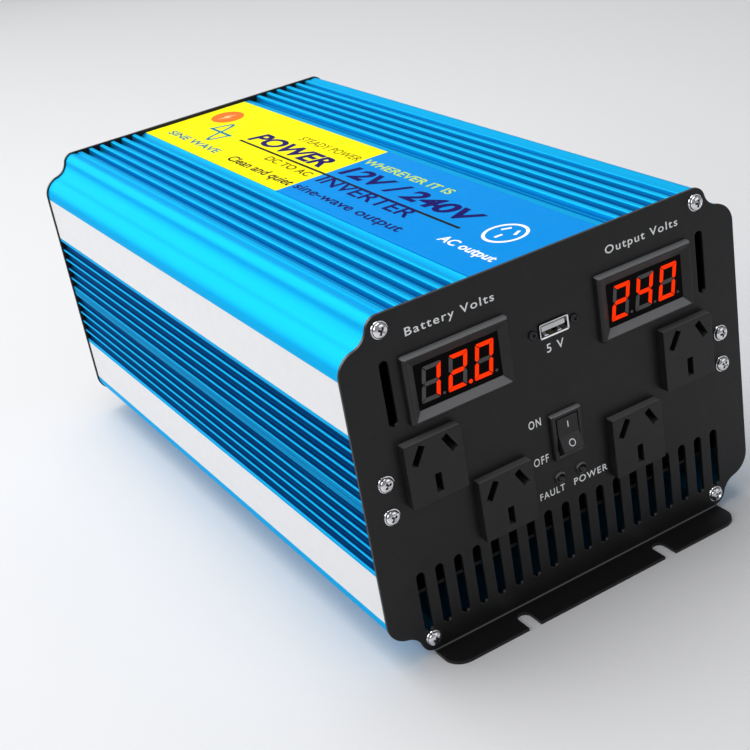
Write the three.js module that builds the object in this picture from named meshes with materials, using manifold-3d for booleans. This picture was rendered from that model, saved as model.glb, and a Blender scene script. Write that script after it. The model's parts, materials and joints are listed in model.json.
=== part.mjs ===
// Mains power inverter: a ribbed two-piece aluminium shell between two bent sheet-metal end panels.
// The front panel carries two panel meters, a charging port, a rocker switch, two indicator lights
// and four three-pin outlets. The rear panel carries two fans, the battery terminals and an earth
// screw. The circuit board slides in grooves of the lower shell.
// Millimetres. +X is right as seen from the front, the front panel faces -Y, +Z is up.
// The origin is on the surface the flanges stand on, under the middle of the whole object.

import * as THREE from 'three';
import { mergeVertices } from 'three/addons/utils/BufferGeometryUtils.js';
import Module from 'manifold-3d';

const wasm = await Module();
wasm.setup();

// ---------------------------------------------------------------- driving dimensions

const PANEL_WIDTH = 189.2;
const PANEL_TOP = 151.4;
const PANEL_BOTTOM = 1.8;
const SHEET = 1.5; // thickness of both end panels
const PANEL_SPAN = 324; // outer face of the front panel to outer face of the rear panel
const FLANGE_REACH = 14.5; // how far a mounting flange stands out from its panel
const FLANGE_WIDTH = 151;
const REAR_REACH = 24; // how far the battery studs stand out from the rear panel
const GAP = 0.3; // between touching pieces

const HALF_WIDTH = PANEL_WIDTH / 2;
const SEAM_Z = (PANEL_TOP + PANEL_BOTTOM) / 2;
const TOTAL_LENGTH = FLANGE_REACH + PANEL_SPAN + REAR_REACH;
const FRONT_Y = -TOTAL_LENGTH / 2 + FLANGE_REACH; // outer face of the front panel
const REAR_Y = FRONT_Y + PANEL_SPAN; // outer face of the rear panel
const SHELL_FRONT_Y = FRONT_Y + SHEET + GAP;
const SHELL_REAR_Y = REAR_Y - SHEET - GAP;

// Ogee corner: a large round at the side, a hollow, and a small round at the top.
const SIDE_ROUND = { x: 84.8, z: 131.4, r: 9.8 };
const TOP_ROUND = { x: 75.2, z: 145.9, r: 5.5 };
const HOLLOW_R = 8.5;
const SHELL_INSET = 0.6; // the shell sits this far inside the panel's outline

// Shell section, above the seam. The lower shell is its mirror image.
const SHELL_SIDE_X = HALF_WIDTH - SHELL_INSET;
const SHELL_TOP_Z = PANEL_TOP - SHELL_INSET;
const INNER_SIDE_X = 90.4;
const INNER_TOP_Z = 145.8;
const SIDE_VALLEY_X = 92.2;
const SEAM_LIP = 2.6; // flat crest beside the seam
const SIDE_RIB_PITCH = 5.62;
const SIDE_RIB_COUNT = 4;
const SIDE_RIB_FIRST = 7.55; // above the seam
const SIDE_RIB_HALF = 0.7;
const TRIM_LOW_Z = 108.1;
const TRIM_HIGH_Z = 130.5;
const TRIM_FLOOR_X = 93.1;
const TRIM_THICKNESS = 0.6;
const TOP_VALLEY_Z = 147.8;
const TOP_RIB_PITCH = 6.4;
const TOP_RIB_COUNT = 5;
const TOP_RIB_FIRST_X = 38.9;
const TOP_RIB_HALF = 1.5;
const PLATFORM_HALF = 32.4;
const PLATFORM_Z = 149.8;
const PLATFORM_FOOT_X = 36.4;
const RIDGE_FOOT_X = 69;
const RIDGE_STEP_X = 72;
const LABEL_LEFT_X = -31.9;
const LABEL_RIGHT_X = 29;
const LABEL_THICKNESS = 0.5;

// Panel screws: right-hand half of the pattern.
const SCREW_PLACES = {
  top: { x: 75.2, z: 145.5 },
  upper_middle: { x: 83.8, z: 83.9 },
  lower_middle: { x: 83.8, z: 69.3 },
  bottom: { x: 75.2, z: 7.7 },
};
const SCREW_SHANK_R = 1.6;
const SCREW_HOLE_R = 2.0;
const SCREW_HEAD_R = 3.5;
const SCREW_HEAD_HEIGHT = 2.3;
const SCREW_LENGTH = 12;
const BOSS_R = 4.2;

// Flange slots: open-ended, for a 5 mm screw.
const NOTCH_X = 36;
const NOTCH_R = 3;
const NOTCH_END = 3.9; // from the panel's face to the closed end

// Front panel openings.
const VENT_COUNT = 18;
const VENT_PITCH = 8.98;
const VENT_LOW_Z = 11.6;
const VENT_HIGH_Z = 39.6;
const VENT_R = 1.95;
const SIDE_VENT_X = 75.9;
const SIDE_VENT_LOW_Z = 105.5;
const SIDE_VENT_HIGH_Z = 132.9;

// Panel meters: bezel, dark window and display module behind it.
const METER = { x: 45.5, z: 117.4, width: 48, height: 29, proud: 2.6 };
const METER_SLEEVE = { width: 44.4, height: 25.4, depth: 13 };
const METER_WINDOW = { width: 39.6, height: 20.6 };
const METER_RECESS = 1.9;

// Charging port.
const PORT = { z: 118.4, width: 13.4, height: 5.8, wall: 0.45, depth: 14, proud: 1.0 };
const PORT_TONGUE = { width: 10.4, height: 1.8, depth: 9 };
const PORT_SCREW_X = 10.1;

// Rocker switch.
const SWITCH = { z: 71, width: 15.2, height: 21, proud: 1.9, depth: 14 };
const SWITCH_SLEEVE = { width: 13, height: 18.9 };
const ROCKER = { width: 10.2, half: 7.6, centre_out: 2.2, depth: 6.2, tilt_deg: 12 };
const ROCKER_PIVOT_OUT = 0.4;
const ROCKER_WELL = { width: 10.8, height: 17 };

// Indicator lights.
const LED = { x: 5.4, z: 51.8, dome_r: 1.55, rim_r: 2.9, hole_r: 3.2, proud: 1.9 };

// Three-pin outlets.
const OUTLET = { width: 26, height: 27.5, proud: 4, sleeve_width: 23, sleeve_height: 24, depth: 20 };
const OUTLET_PLACES = {
  outlet_outer_left: { x: -63.2, z: 84 },
  outlet_inner_left: { x: -33.3, z: 55 },
  outlet_inner_right: { x: 33.3, z: 55 },
  outlet_outer_right: { x: 63.2, z: 84 },
};
const PIN = { x: 7.2, z: 8, earth_z: -6.7, length: 8, width: 2.4, slant_deg: 30, depth: 14 };

// Fans.
const FAN = { x: 37, z: 95, size: 60, depth: 15, bore_r: 28.4, corner_r: 4 };
const FAN_HUB_R = 12.5;
const FAN_HOLDER_R = 13.5;
const FAN_TIP_R = 27.5;
const FAN_BLADES = 7;
const FAN_SHAFT_R = 2;
const FAN_HOLDER_DEPTH = 3;
const GUARD_RING_RADII = [7, 13, 19, 25, 31];
const GUARD_WIRE_R = 0.8;
const GUARD_OUT = 1.9;
const FAN_SCREW_SPREAD = 25;

// Battery terminals and earth screw.
const TERMINAL = { x: 47, z: 31, base_r: 12, base_out: 7, stud_r: 4, stud_in: 20 };
const TERMINAL_NUT = { across: 13, height: 6.5, washer_r: 8.5, washer: 1.6, from: 7.3 };
const EARTH = { z: 31, head_r: 5, head: 3.2, shank_r: 2.5, length: 14 };

// Inside.
const BOARD = { half: 89.9, z: 23, thickness: 1.6, front: 10, rear: 30 };
const RAIL = { from_x: 86.2, height: 1.6 };

// ---------------------------------------------------------------- materials

function finish(color, roughness, metalness) {
  return new THREE.MeshStandardMaterial({ color, roughness, metalness });
}

const anodised = finish(0x1f9fe0, 0.32, 0.85);
const whiteTrim = finish(0xdfe0e4, 0.6, 0);
const labelFilm = finish(0xf4e400, 0.45, 0);
const blackCoat = finish(0x1e1e1f, 0.55, 0.1);
const blackPlastic = finish(0x18181a, 0.45, 0);
const darkLens = finish(0x0c0606, 0.15, 0);
const chrome = finish(0xd8d8da, 0.18, 1);
const ledLens = finish(0x2a1010, 0.2, 0);
const redPlastic = finish(0xb81414, 0.45, 0);
const brass = finish(0xc9a44a, 0.3, 1);
const greenBoard = finish(0x14502c, 0.5, 0);
const ferrite = finish(0x2b2b2e, 0.7, 0);
const copper = finish(0xb86a3a, 0.4, 1);
const aluminium = finish(0xb9bbbe, 0.45, 1);
const canBlue = finish(0x1b2c63, 0.4, 0);

// ---------------------------------------------------------------- solids and booleans

/** Turns a closed three.js geometry into a manifold solid. */
function solid(geometry) {
  geometry.deleteAttribute('normal');
  geometry.deleteAttribute('uv');
  const merged = mergeVertices(geometry, 1e-4);
  return new wasm.Manifold(new wasm.Mesh({
    numProp: 3,
    vertProperties: new Float32Array(merged.attributes.position.array),
    triVerts: new Uint32Array(merged.index.array),
  }));
}

/** Turns a manifold solid back into a three.js geometry. */
function geometryOf(manifold) {
  const { vertProperties, triVerts } = manifold.getMesh();
  const geometry = new THREE.BufferGeometry();
  geometry.setAttribute('position', new THREE.BufferAttribute(vertProperties, 3));
  geometry.setIndex(new THREE.BufferAttribute(triVerts, 1));
  geometry.computeVertexNormals();
  return geometry;
}

/** A block between two corners. */
function block(low, high) {
  const size = high.map((value, i) => value - low[i]);
  const geometry = new THREE.BoxGeometry(...size);
  geometry.translate(...low.map((value, i) => value + size[i] / 2));
  return solid(geometry);
}

function shapeOf(points, holes = []) {
  const shape = new THREE.Shape(points.map(([x, y]) => new THREE.Vector2(x, y)));
  shape.holes = holes.map((hole) => new THREE.Path(hole.map(([x, y]) => new THREE.Vector2(x, y))));
  return shape;
}

/** Extrudes an outline drawn in X and Z along Y. */
function extrudeY(points, y0, y1, holes = []) {
  const geometry = new THREE.ExtrudeGeometry(shapeOf(points, holes), { depth: y1 - y0, bevelEnabled: false });
  geometry.rotateX(Math.PI / 2);
  geometry.translate(0, y1, 0);
  return solid(geometry);
}

/** Extrudes an outline drawn in Y and Z along X, centred on x = 0. */
function extrudeX(points, width) {
  const geometry = new THREE.ExtrudeGeometry(shapeOf(points), { depth: width, bevelEnabled: false });
  geometry.applyMatrix4(new THREE.Matrix4().makeBasis(
    new THREE.Vector3(0, 1, 0), new THREE.Vector3(0, 0, 1), new THREE.Vector3(1, 0, 0)));
  geometry.translate(-width / 2, 0, 0);
  return solid(geometry);
}

/** Extrudes an outline drawn in X and Y along Z. */
function extrudeZ(points, z0, z1) {
  const geometry = new THREE.ExtrudeGeometry(shapeOf(points), { depth: z1 - z0, bevelEnabled: false });
  geometry.translate(0, 0, z0);
  return solid(geometry);
}

/** A round bar along Y between y0 and y1. */
function barY(x, z, radius, y0, y1, sides = 16) {
  const geometry = new THREE.CylinderGeometry(radius, radius, y1 - y0, sides);
  geometry.translate(x, (y0 + y1) / 2, z);
  return solid(geometry);
}

/** A body turned about the Y axis from [radius, y] profile points that start and end on the axis. */
function turnedY(profile, sides = 16) {
  const points = profile.map(([radius, y]) => new THREE.Vector2(radius, y));
  return solid(new THREE.LatheGeometry(points, sides));
}

/** Points of an arc, in degrees, both ends included. */
function arc(x, z, radius, from, to, steps) {
  const points = [];
  for (let i = 0; i <= steps; i += 1) {
    const angle = THREE.MathUtils.degToRad(from + (to - from) * i / steps);
    points.push([x + radius * Math.cos(angle), z + radius * Math.sin(angle)]);
  }
  return points;
}

function rectangle(x, z, width, height) {
  const [w, h] = [width / 2, height / 2];
  return [[x - w, z - h], [x + w, z - h], [x + w, z + h], [x - w, z + h]];
}

function roundedRectangle(x, z, width, height, radius, steps = 3) {
  const [w, h] = [width / 2 - radius, height / 2 - radius];
  return [
    ...arc(x + w, z + h, radius, 0, 90, steps),
    ...arc(x - w, z + h, radius, 90, 180, steps),
    ...arc(x - w, z - h, radius, 180, 270, steps),
    ...arc(x + w, z - h, radius, 270, 360, steps),
  ];
}

/** An upright slot with round ends. */
function slot(x, low, high, radius) {
  return [...arc(x, high - radius, radius, 0, 180, 4), ...arc(x, low + radius, radius, 180, 360, 4)];
}

function mirrorX(points) {
  return points.map(([x, z]) => [-x, z]).reverse();
}

function mirrorAboutSeam(points) {
  return points.map(([x, z]) => [x, 2 * SEAM_Z - z]).reverse();
}

/** Moves a solid built around y = 0 = panel face so that it faces out of the front or rear panel. */
function onPanel(manifold, side) {
  return side === 'front'
    ? manifold.translate([0, FRONT_Y, 0])
    : manifold.mirror([0, 1, 0]).translate([0, REAR_Y, 0]);
}

// ---------------------------------------------------------------- outline shared by panels and shell

/** The ogee corner at the upper right, from the side to the top, moved inward by inset. */
function ogeeCorner(inset) {
  const sideR = SIDE_ROUND.r - inset;
  const hollowR = HOLLOW_R + inset;
  const topR = TOP_ROUND.r - inset;
  const dx = TOP_ROUND.x - SIDE_ROUND.x;
  const dz = TOP_ROUND.z - SIDE_ROUND.z;
  const distance = Math.hypot(dx, dz);
  const toSide = sideR + hollowR;
  const toTop = topR + hollowR;
  const along = (toSide ** 2 - toTop ** 2 + distance ** 2) / (2 * distance);
  const across = Math.sqrt(toSide ** 2 - along ** 2);
  const hollow = {
    x: SIDE_ROUND.x + (dx * along + dz * across) / distance,
    z: SIDE_ROUND.z + (dz * along - dx * across) / distance,
  };
  const angle = (from, to) => (THREE.MathUtils.radToDeg(Math.atan2(to.z - from.z, to.x - from.x)) + 360) % 360;
  return [
    ...arc(SIDE_ROUND.x, SIDE_ROUND.z, sideR, 0, angle(SIDE_ROUND, hollow), 6),
    ...arc(hollow.x, hollow.z, hollowR, angle(hollow, SIDE_ROUND), angle(hollow, TOP_ROUND), 4).slice(1),
    ...arc(TOP_ROUND.x, TOP_ROUND.z, topR, angle(TOP_ROUND, hollow), 90, 4).slice(1),
  ];
}

function panelOutline() {
  const right = ogeeCorner(0);
  const upper = [...right, ...mirrorX(right)];
  return [...upper, ...mirrorAboutSeam(upper)];
}

// ---------------------------------------------------------------- shell

/** Right-hand outer profile of the upper shell, from the seam to the middle of the top. */
function shellOuterProfile(seamZ) {
  const lipZ = SEAM_Z + SEAM_LIP;
  const points = [[SHELL_SIDE_X, seamZ], [SHELL_SIDE_X, lipZ], [SIDE_VALLEY_X, lipZ + 0.5]];
  for (let i = 0; i < SIDE_RIB_COUNT; i += 1) {
    const z = SEAM_Z + SIDE_RIB_FIRST + i * SIDE_RIB_PITCH;
    points.push([SIDE_VALLEY_X, z - SIDE_RIB_HALF - 0.4]);
    points.push([SHELL_SIDE_X - 0.25, z - SIDE_RIB_HALF]);
    points.push([SHELL_SIDE_X, z]);
    points.push([SHELL_SIDE_X - 0.25, z + SIDE_RIB_HALF]);
    points.push([SIDE_VALLEY_X, z + SIDE_RIB_HALF + 0.4]);
  }
  points.push([SIDE_VALLEY_X, TRIM_LOW_Z - 2.3], [SHELL_SIDE_X, TRIM_LOW_Z - 1.8]);
  points.push([SHELL_SIDE_X, TRIM_LOW_Z], [TRIM_FLOOR_X, TRIM_LOW_Z]);
  points.push([TRIM_FLOOR_X, TRIM_HIGH_Z], [SHELL_SIDE_X, TRIM_HIGH_Z]);
  points.push(...ogeeCorner(SHELL_INSET));
  points.push([RIDGE_STEP_X + 0.3, SHELL_TOP_Z - 0.7], [RIDGE_STEP_X, SHELL_TOP_Z - 0.1]);
  points.push([RIDGE_FOOT_X + 0.6, SHELL_TOP_Z - 0.3], [RIDGE_FOOT_X, TOP_VALLEY_Z]);
  for (let i = TOP_RIB_COUNT - 1; i >= 0; i -= 1) {
    const x = TOP_RIB_FIRST_X + i * TOP_RIB_PITCH;
    points.push([x + TOP_RIB_HALF, TOP_VALLEY_Z]);
    points.push([x + TOP_RIB_HALF - 0.5, SHELL_TOP_Z - 0.6]);
    points.push([x, SHELL_TOP_Z]);
    points.push([x - TOP_RIB_HALF + 0.5, SHELL_TOP_Z - 0.6]);
    points.push([x - TOP_RIB_HALF, TOP_VALLEY_Z]);
  }
  points.push([PLATFORM_FOOT_X, TOP_VALLEY_Z], [PLATFORM_HALF, PLATFORM_Z]);
  return points;
}

/** Right-hand inner profile of the upper shell, from the middle of the top down to the seam. */
function shellInnerProfile(seamZ) {
  return [
    [PLATFORM_HALF, INNER_TOP_Z],
    ...arc(SCREW_PLACES.top.x, SCREW_PLACES.top.z, BOSS_R, 185, 320, 6),
    ...arc(SIDE_ROUND.x, SIDE_ROUND.z, INNER_SIDE_X - SIDE_ROUND.x, 90, 0, 4),
    [INNER_SIDE_X, seamZ],
  ];
}

/** Half of the shell, above the seam: walls, screw bosses and their holes. */
function halfShell() {
  const seamZ = SEAM_Z + GAP / 2;
  const outer = shellOuterProfile(seamZ);
  const inner = shellInnerProfile(seamZ);
  const section = [...outer, ...mirrorX(outer), ...mirrorX(inner), ...inner];
  let shell = extrudeY(section, SHELL_FRONT_Y, SHELL_REAR_Y);
  const side = SCREW_PLACES.upper_middle;
  for (const sign of [-1, 1]) {
    const web = sign > 0
      ? block([side.x, SHELL_FRONT_Y, side.z - 1.6], [INNER_SIDE_X + 0.4, SHELL_REAR_Y, side.z + 1.6])
      : block([-INNER_SIDE_X - 0.4, SHELL_FRONT_Y, side.z - 1.6], [-side.x, SHELL_REAR_Y, side.z + 1.6]);
    shell = shell.add(barY(sign * side.x, side.z, BOSS_R, SHELL_FRONT_Y, SHELL_REAR_Y, 12)).add(web);
    for (const place of [side, SCREW_PLACES.top]) {
      shell = shell.subtract(
        barY(sign * place.x, place.z, SCREW_HOLE_R, SHELL_FRONT_Y - 1, SHELL_REAR_Y + 1, 10));
    }
  }
  return shell;
}

function upperShell() {
  return halfShell();
}

/** The mirror image of the upper half, with the overlapping lips and the board grooves. */
function lowerShell() {
  let shell = halfShell().mirror([0, 0, 1]).translate([0, 0, 2 * SEAM_Z]);
  const lipTop = SEAM_Z + 2.6;
  const lipFoot = SEAM_Z - 3;
  const railZs = [BOARD.z - GAP - RAIL.height, BOARD.z + BOARD.thickness + GAP];
  for (const sign of [-1, 1]) {
    const span = (x0, x1) => [Math.min(sign * x0, sign * x1), Math.max(sign * x0, sign * x1)];
    const [lip0, lip1] = span(INNER_SIDE_X - 2, INNER_SIDE_X - GAP);
    const [foot0, foot1] = span(INNER_SIDE_X - 2, INNER_SIDE_X + 0.3);
    shell = shell.add(block([lip0, SHELL_FRONT_Y, lipFoot], [lip1, SHELL_REAR_Y, lipTop]));
    shell = shell.add(block([foot0, SHELL_FRONT_Y, lipFoot], [foot1, SHELL_REAR_Y, SEAM_Z - GAP]));
    for (const z of railZs) {
      const [x0, x1] = span(RAIL.from_x, INNER_SIDE_X + 0.4);
      shell = shell.add(block([x0, SHELL_FRONT_Y, z], [x1, SHELL_REAR_Y, z + RAIL.height]));
    }
  }
  return shell;
}

/** A white strip in the recess of one side wall: side is -1 or 1, half is 'upper' or 'lower'. */
function sideTrim(side, half) {
  const clear = 0.15;
  const low = half === 'upper' ? TRIM_LOW_Z : 2 * SEAM_Z - TRIM_HIGH_Z;
  const high = half === 'upper' ? TRIM_HIGH_Z : 2 * SEAM_Z - TRIM_LOW_Z;
  const xs = [TRIM_FLOOR_X + GAP, TRIM_FLOOR_X + GAP + TRIM_THICKNESS].map((x) => side * x);
  return block([Math.min(...xs), SHELL_FRONT_Y, low + clear], [Math.max(...xs), SHELL_REAR_Y, high - clear]);
}

function topLabel() {
  const z = PLATFORM_Z + GAP;
  return block([LABEL_LEFT_X, SHELL_FRONT_Y + 1, z], [LABEL_RIGHT_X, SHELL_REAR_Y - 1, z + LABEL_THICKNESS]);
}

// ---------------------------------------------------------------- end panels

/** Bend and flange at the foot of a panel, as if the panel faced -Y from y = 0. */
function panelFlange() {
  const bendR = 2.4;
  const section = [
    [-FLANGE_REACH, 0],
    ...arc(SHEET - bendR, bendR, bendR, 270, 360, 4),
    [SHEET, PANEL_BOTTOM + 6],
    [0, PANEL_BOTTOM + 6],
    ...arc(SHEET - bendR, bendR, bendR - SHEET, 360, 270, 3),
    [-FLANGE_REACH, SHEET],
  ];
  const corner = 8;
  const half = FLANGE_WIDTH / 2;
  const plan = [
    ...arc(-half + corner, -FLANGE_REACH + corner, corner, 180, 270, 4),
    ...arc(half - corner, -FLANGE_REACH + corner, corner, 270, 360, 4),
    [half, SHEET + 1],
    [-half, SHEET + 1],
  ];
  let flange = extrudeX(section, FLANGE_WIDTH).intersect(extrudeZ(plan, -1, PANEL_BOTTOM + 8));
  for (const x of [-NOTCH_X, NOTCH_X]) {
    const notch = [
      [x - NOTCH_R, -FLANGE_REACH - 1],
      [x + NOTCH_R, -FLANGE_REACH - 1],
      ...arc(x, -NOTCH_END - NOTCH_R, NOTCH_R, 0, 180, 6),
    ];
    flange = flange.subtract(extrudeZ(notch, -1, SHEET + 1));
  }
  return flange;
}

/** A bent sheet panel with the given openings, facing -Y from y = 0. */
function endPanel(openings) {
  let panel = extrudeY(panelOutline(), 0, SHEET).add(panelFlange());
  for (const opening of openings) {
    panel = panel.subtract(extrudeY(opening, -1, SHEET + 1));
  }
  return panel;
}

function screwHoles() {
  const holes = [];
  for (const { x, z } of Object.values(SCREW_PLACES)) {
    holes.push(arc(x, z, SCREW_HOLE_R, 0, 330, 11));
    holes.push(arc(-x, z, SCREW_HOLE_R, 0, 330, 11));
  }
  return holes;
}

function frontPanel() {
  const openings = screwHoles();
  for (let i = 0; i < VENT_COUNT; i += 1) {
    openings.push(slot((i - (VENT_COUNT - 1) / 2) * VENT_PITCH, VENT_LOW_Z, VENT_HIGH_Z, VENT_R));
  }
  for (const sign of [-1, 1]) {
    openings.push(slot(sign * SIDE_VENT_X, SIDE_VENT_LOW_Z, SIDE_VENT_HIGH_Z, VENT_R));
    openings.push(rectangle(sign * METER.x, METER.z, METER_SLEEVE.width + 2 * GAP, METER_SLEEVE.height + 2 * GAP));
    openings.push(arc(sign * LED.x, LED.z, LED.hole_r, 0, 330, 11));
    openings.push(arc(sign * PORT_SCREW_X, PORT.z, 1.3, 0, 315, 7));
  }
  for (const { x, z } of Object.values(OUTLET_PLACES)) {
    openings.push(rectangle(x, z, OUTLET.sleeve_width + 2 * GAP, OUTLET.sleeve_height + 2 * GAP));
  }
  openings.push(rectangle(0, PORT.z, PORT.width + 2 * GAP, PORT.height + 2 * GAP));
  openings.push(rectangle(0, SWITCH.z, SWITCH_SLEEVE.width + 2 * GAP, SWITCH_SLEEVE.height + 2 * GAP));
  return onPanel(endPanel(openings), 'front');
}

function rearPanel() {
  const openings = screwHoles();
  for (const sign of [-1, 1]) {
    openings.push(arc(sign * FAN.x, FAN.z, FAN.bore_r, 0, 345, 23));
    openings.push(arc(sign * TERMINAL.x, TERMINAL.z, TERMINAL.stud_r + 3, 0, 337.5, 15));
  }
  openings.push(arc(0, EARTH.z, EARTH.shank_r + GAP, 0, 330, 11));
  return onPanel(endPanel(openings), 'rear');
}

/** A cross-recessed pan-head screw through a panel that faces -Y from y = 0. */
function panelScrew(x, z) {
  const top = -GAP - SCREW_HEAD_HEIGHT;
  const profile = [
    [0, top],
    [SCREW_HEAD_R * 0.55, top + 0.15],
    [SCREW_HEAD_R * 0.9, top + 0.9],
    [SCREW_HEAD_R, -GAP],
    [SCREW_SHANK_R, -GAP],
    [SCREW_SHANK_R, SCREW_LENGTH - 1],
    [0, SCREW_LENGTH],
  ];
  const arm = 1.9;
  const slotHalf = 0.45;
  const cross = block([-arm, top - 1, -slotHalf], [arm, top + 1.3, slotHalf])
    .add(block([-slotHalf, top - 1, -arm], [slotHalf, top + 1.3, arm]));
  return turnedY(profile, 10).subtract(cross).translate([x, 0, z]);
}

// ---------------------------------------------------------------- front fittings, facing -Y from y = 0

function meterBezel(x) {
  const { width, height, proud, z } = METER;
  const window = METER_WINDOW;
  const front = extrudeY(rectangle(x, z, width, height), -proud - GAP, -GAP);
  const sleeve = extrudeY(
    rectangle(x, z, METER_SLEEVE.width, METER_SLEEVE.height), -GAP - 0.5, METER_SLEEVE.depth);
  const well = extrudeY(rectangle(x, z, window.width, window.height), -proud - 1, METER_SLEEVE.depth + 1);
  return front.add(sleeve).subtract(well);
}

function meterDisplay(x) {
  const width = METER_WINDOW.width - 2 * GAP;
  const height = METER_WINDOW.height - 2 * GAP;
  return extrudeY(rectangle(x, METER.z, width, height), -METER.proud - GAP + METER_RECESS, METER_SLEEVE.depth);
}

function portShell() {
  const { z, width, height, wall, depth, proud } = PORT;
  const outer = extrudeY(roundedRectangle(0, z, width, height, 0.6, 2), -proud, depth);
  const inner = extrudeY(rectangle(0, z, width - 2 * wall, height - 2 * wall), -proud - 1, depth - 1);
  return outer.subtract(inner);
}

function portTongue() {
  const z = PORT.z + 0.9;
  const back = PORT.depth - 1 - GAP;
  return extrudeY(rectangle(0, z, PORT_TONGUE.width, PORT_TONGUE.height), back - PORT_TONGUE.depth - 3, back);
}

function switchFrame() {
  const { z, width, height, proud, depth } = SWITCH;
  const well = extrudeY(rectangle(0, z, ROCKER_WELL.width, ROCKER_WELL.height), -proud - 1, depth - 2);
  return extrudeY(roundedRectangle(0, z, width, height, 0.8, 2), -proud - GAP, -GAP)
    .add(extrudeY(rectangle(0, z, SWITCH_SLEEVE.width, SWITCH_SLEEVE.height), -GAP - 0.5, depth))
    .subtract(well);
}

/** The rocker, tipped so that its upper half is pressed in: the on position. */
function switchRocker() {
  const { half, centre_out: centre, depth, tilt_deg: tilt, width } = ROCKER;
  const rise = half * Math.tan(THREE.MathUtils.degToRad(tilt));
  const foot = ROCKER_PIVOT_OUT - depth;
  const section = [
    [-(centre + rise), -half],
    [-centre, 0],
    [-(centre + rise), half],
    [-ROCKER_PIVOT_OUT, half],
    [-foot, 2.5],
    [-foot, -2.5],
    [-ROCKER_PIVOT_OUT, -half],
  ];
  return extrudeX(section.reverse(), width)
    .translate([0, ROCKER_PIVOT_OUT, 0])
    .rotate([-tilt, 0, 0])
    .translate([0, -ROCKER_PIVOT_OUT, SWITCH.z]);
}

function indicator(x) {
  const { dome_r: dome, rim_r: rim, proud } = LED;
  const profile = [[0, -proud]];
  profile.push(...arc(0, -proud + dome, dome, 270, 360, 3).slice(1));
  profile.push([dome, -0.2], [rim, 0.2], [rim, SHEET + 4], [0, SHEET + 4]);
  return turnedY(profile, 12).translate([x, 0, LED.z]);
}

/** A three-pin outlet block with two slanted slots above an upright one. */
function outlet({ x, z }) {
  const { width, height, proud, sleeve_width: sleeveWidth, sleeve_height: sleeveHeight, depth } = OUTLET;
  let body = extrudeY(roundedRectangle(x, z, width, height, 0.8, 2), -proud - GAP, -GAP)
    .add(extrudeY(rectangle(x, z, sleeveWidth, sleeveHeight), -GAP - 0.5, depth));
  const pins = [[-PIN.x, PIN.z, -PIN.slant_deg], [PIN.x, PIN.z, PIN.slant_deg], [0, PIN.earth_z, 0]];
  for (const [dx, dz, slant] of pins) {
    const pin = extrudeY(rectangle(0, 0, PIN.width, PIN.length), -proud - 1, -proud - 1 + PIN.depth)
      .rotate([0, -slant, 0])
      .translate([x + dx, 0, z + dz]);
    body = body.subtract(pin);
  }
  return body;
}

// ---------------------------------------------------------------- rear fittings, facing -Y from y = 0

function fanFrame(x) {
  const y0 = SHEET + GAP;
  const y1 = y0 + FAN.depth;
  let frame = extrudeY(roundedRectangle(x, FAN.z, FAN.size, FAN.size, FAN.corner_r, 2), y0, y1,
    [arc(x, FAN.z, FAN.bore_r, 0, 345, 23)]);
  const holderFront = y1 - FAN_HOLDER_DEPTH;
  frame = frame.add(barY(x, FAN.z, FAN_HOLDER_R, holderFront, y1, 16));
  for (let i = 0; i < 4; i += 1) {
    const strut = block([FAN_HOLDER_R - 1, holderFront, -1.5], [FAN.bore_r + 0.8, y1, 1.5])
      .rotate([0, 45 + 90 * i, 0])
      .translate([x, 0, FAN.z]);
    frame = frame.add(strut);
  }
  for (const dx of [-FAN_SCREW_SPREAD, FAN_SCREW_SPREAD]) {
    for (const dz of [-FAN_SCREW_SPREAD, FAN_SCREW_SPREAD]) {
      frame = frame.subtract(barY(x + dx, FAN.z + dz, 1.7, y0 - 1, y1 + 1, 8));
    }
  }
  return frame.subtract(barY(x, FAN.z, FAN_SHAFT_R + GAP, holderFront - 1, y1 - 1, 12));
}

/** Hub, shaft and curved pitched blades of a fan, as one moulding. */
function fanRotor(x) {
  const y0 = SHEET + GAP + 1;
  const y1 = SHEET + GAP + FAN.depth - FAN_HOLDER_DEPTH - 0.5;
  const shaftEnd = y1 + FAN_HOLDER_DEPTH - 1.2;
  let rotor = barY(0, 0, FAN_HUB_R, y0, y1, 20).add(barY(0, 0, FAN_SHAFT_R, y1 - 1, shaftEnd, 10));
  const bladeR = 14;
  const outerArc = arc(0, -bladeR, bladeR, 62, 118, 4);
  const innerArc = arc(0, -bladeR, bladeR - 1.3, 118, 62, 4);
  const bladeShape = shapeOf([...outerArc, ...innerArc]);
  for (let i = 0; i < FAN_BLADES; i += 1) {
    const geometry = new THREE.ExtrudeGeometry(bladeShape, {
      depth: FAN_TIP_R - FAN_HUB_R + 1.5,
      bevelEnabled: false,
    });
    geometry.rotateZ(THREE.MathUtils.degToRad(40));
    geometry.rotateX(-Math.PI / 2);
    geometry.rotateZ(-Math.PI / 2);
    geometry.translate(FAN_HUB_R - 1.5, 0, 0);
    geometry.rotateX(Math.PI / 2);
    const blade = solid(geometry)
      .translate([0, (y0 + y1) / 2, 0])
      .rotate([0, 360 * i / FAN_BLADES, 0]);
    rotor = rotor.add(blade);
  }
  const sweep = barY(0, 0, FAN_TIP_R, y0, y1, 24).add(barY(0, 0, FAN_SHAFT_R, y1 - 1, shaftEnd, 10));
  return rotor.intersect(sweep).translate([x, 0, FAN.z]);
}

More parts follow.
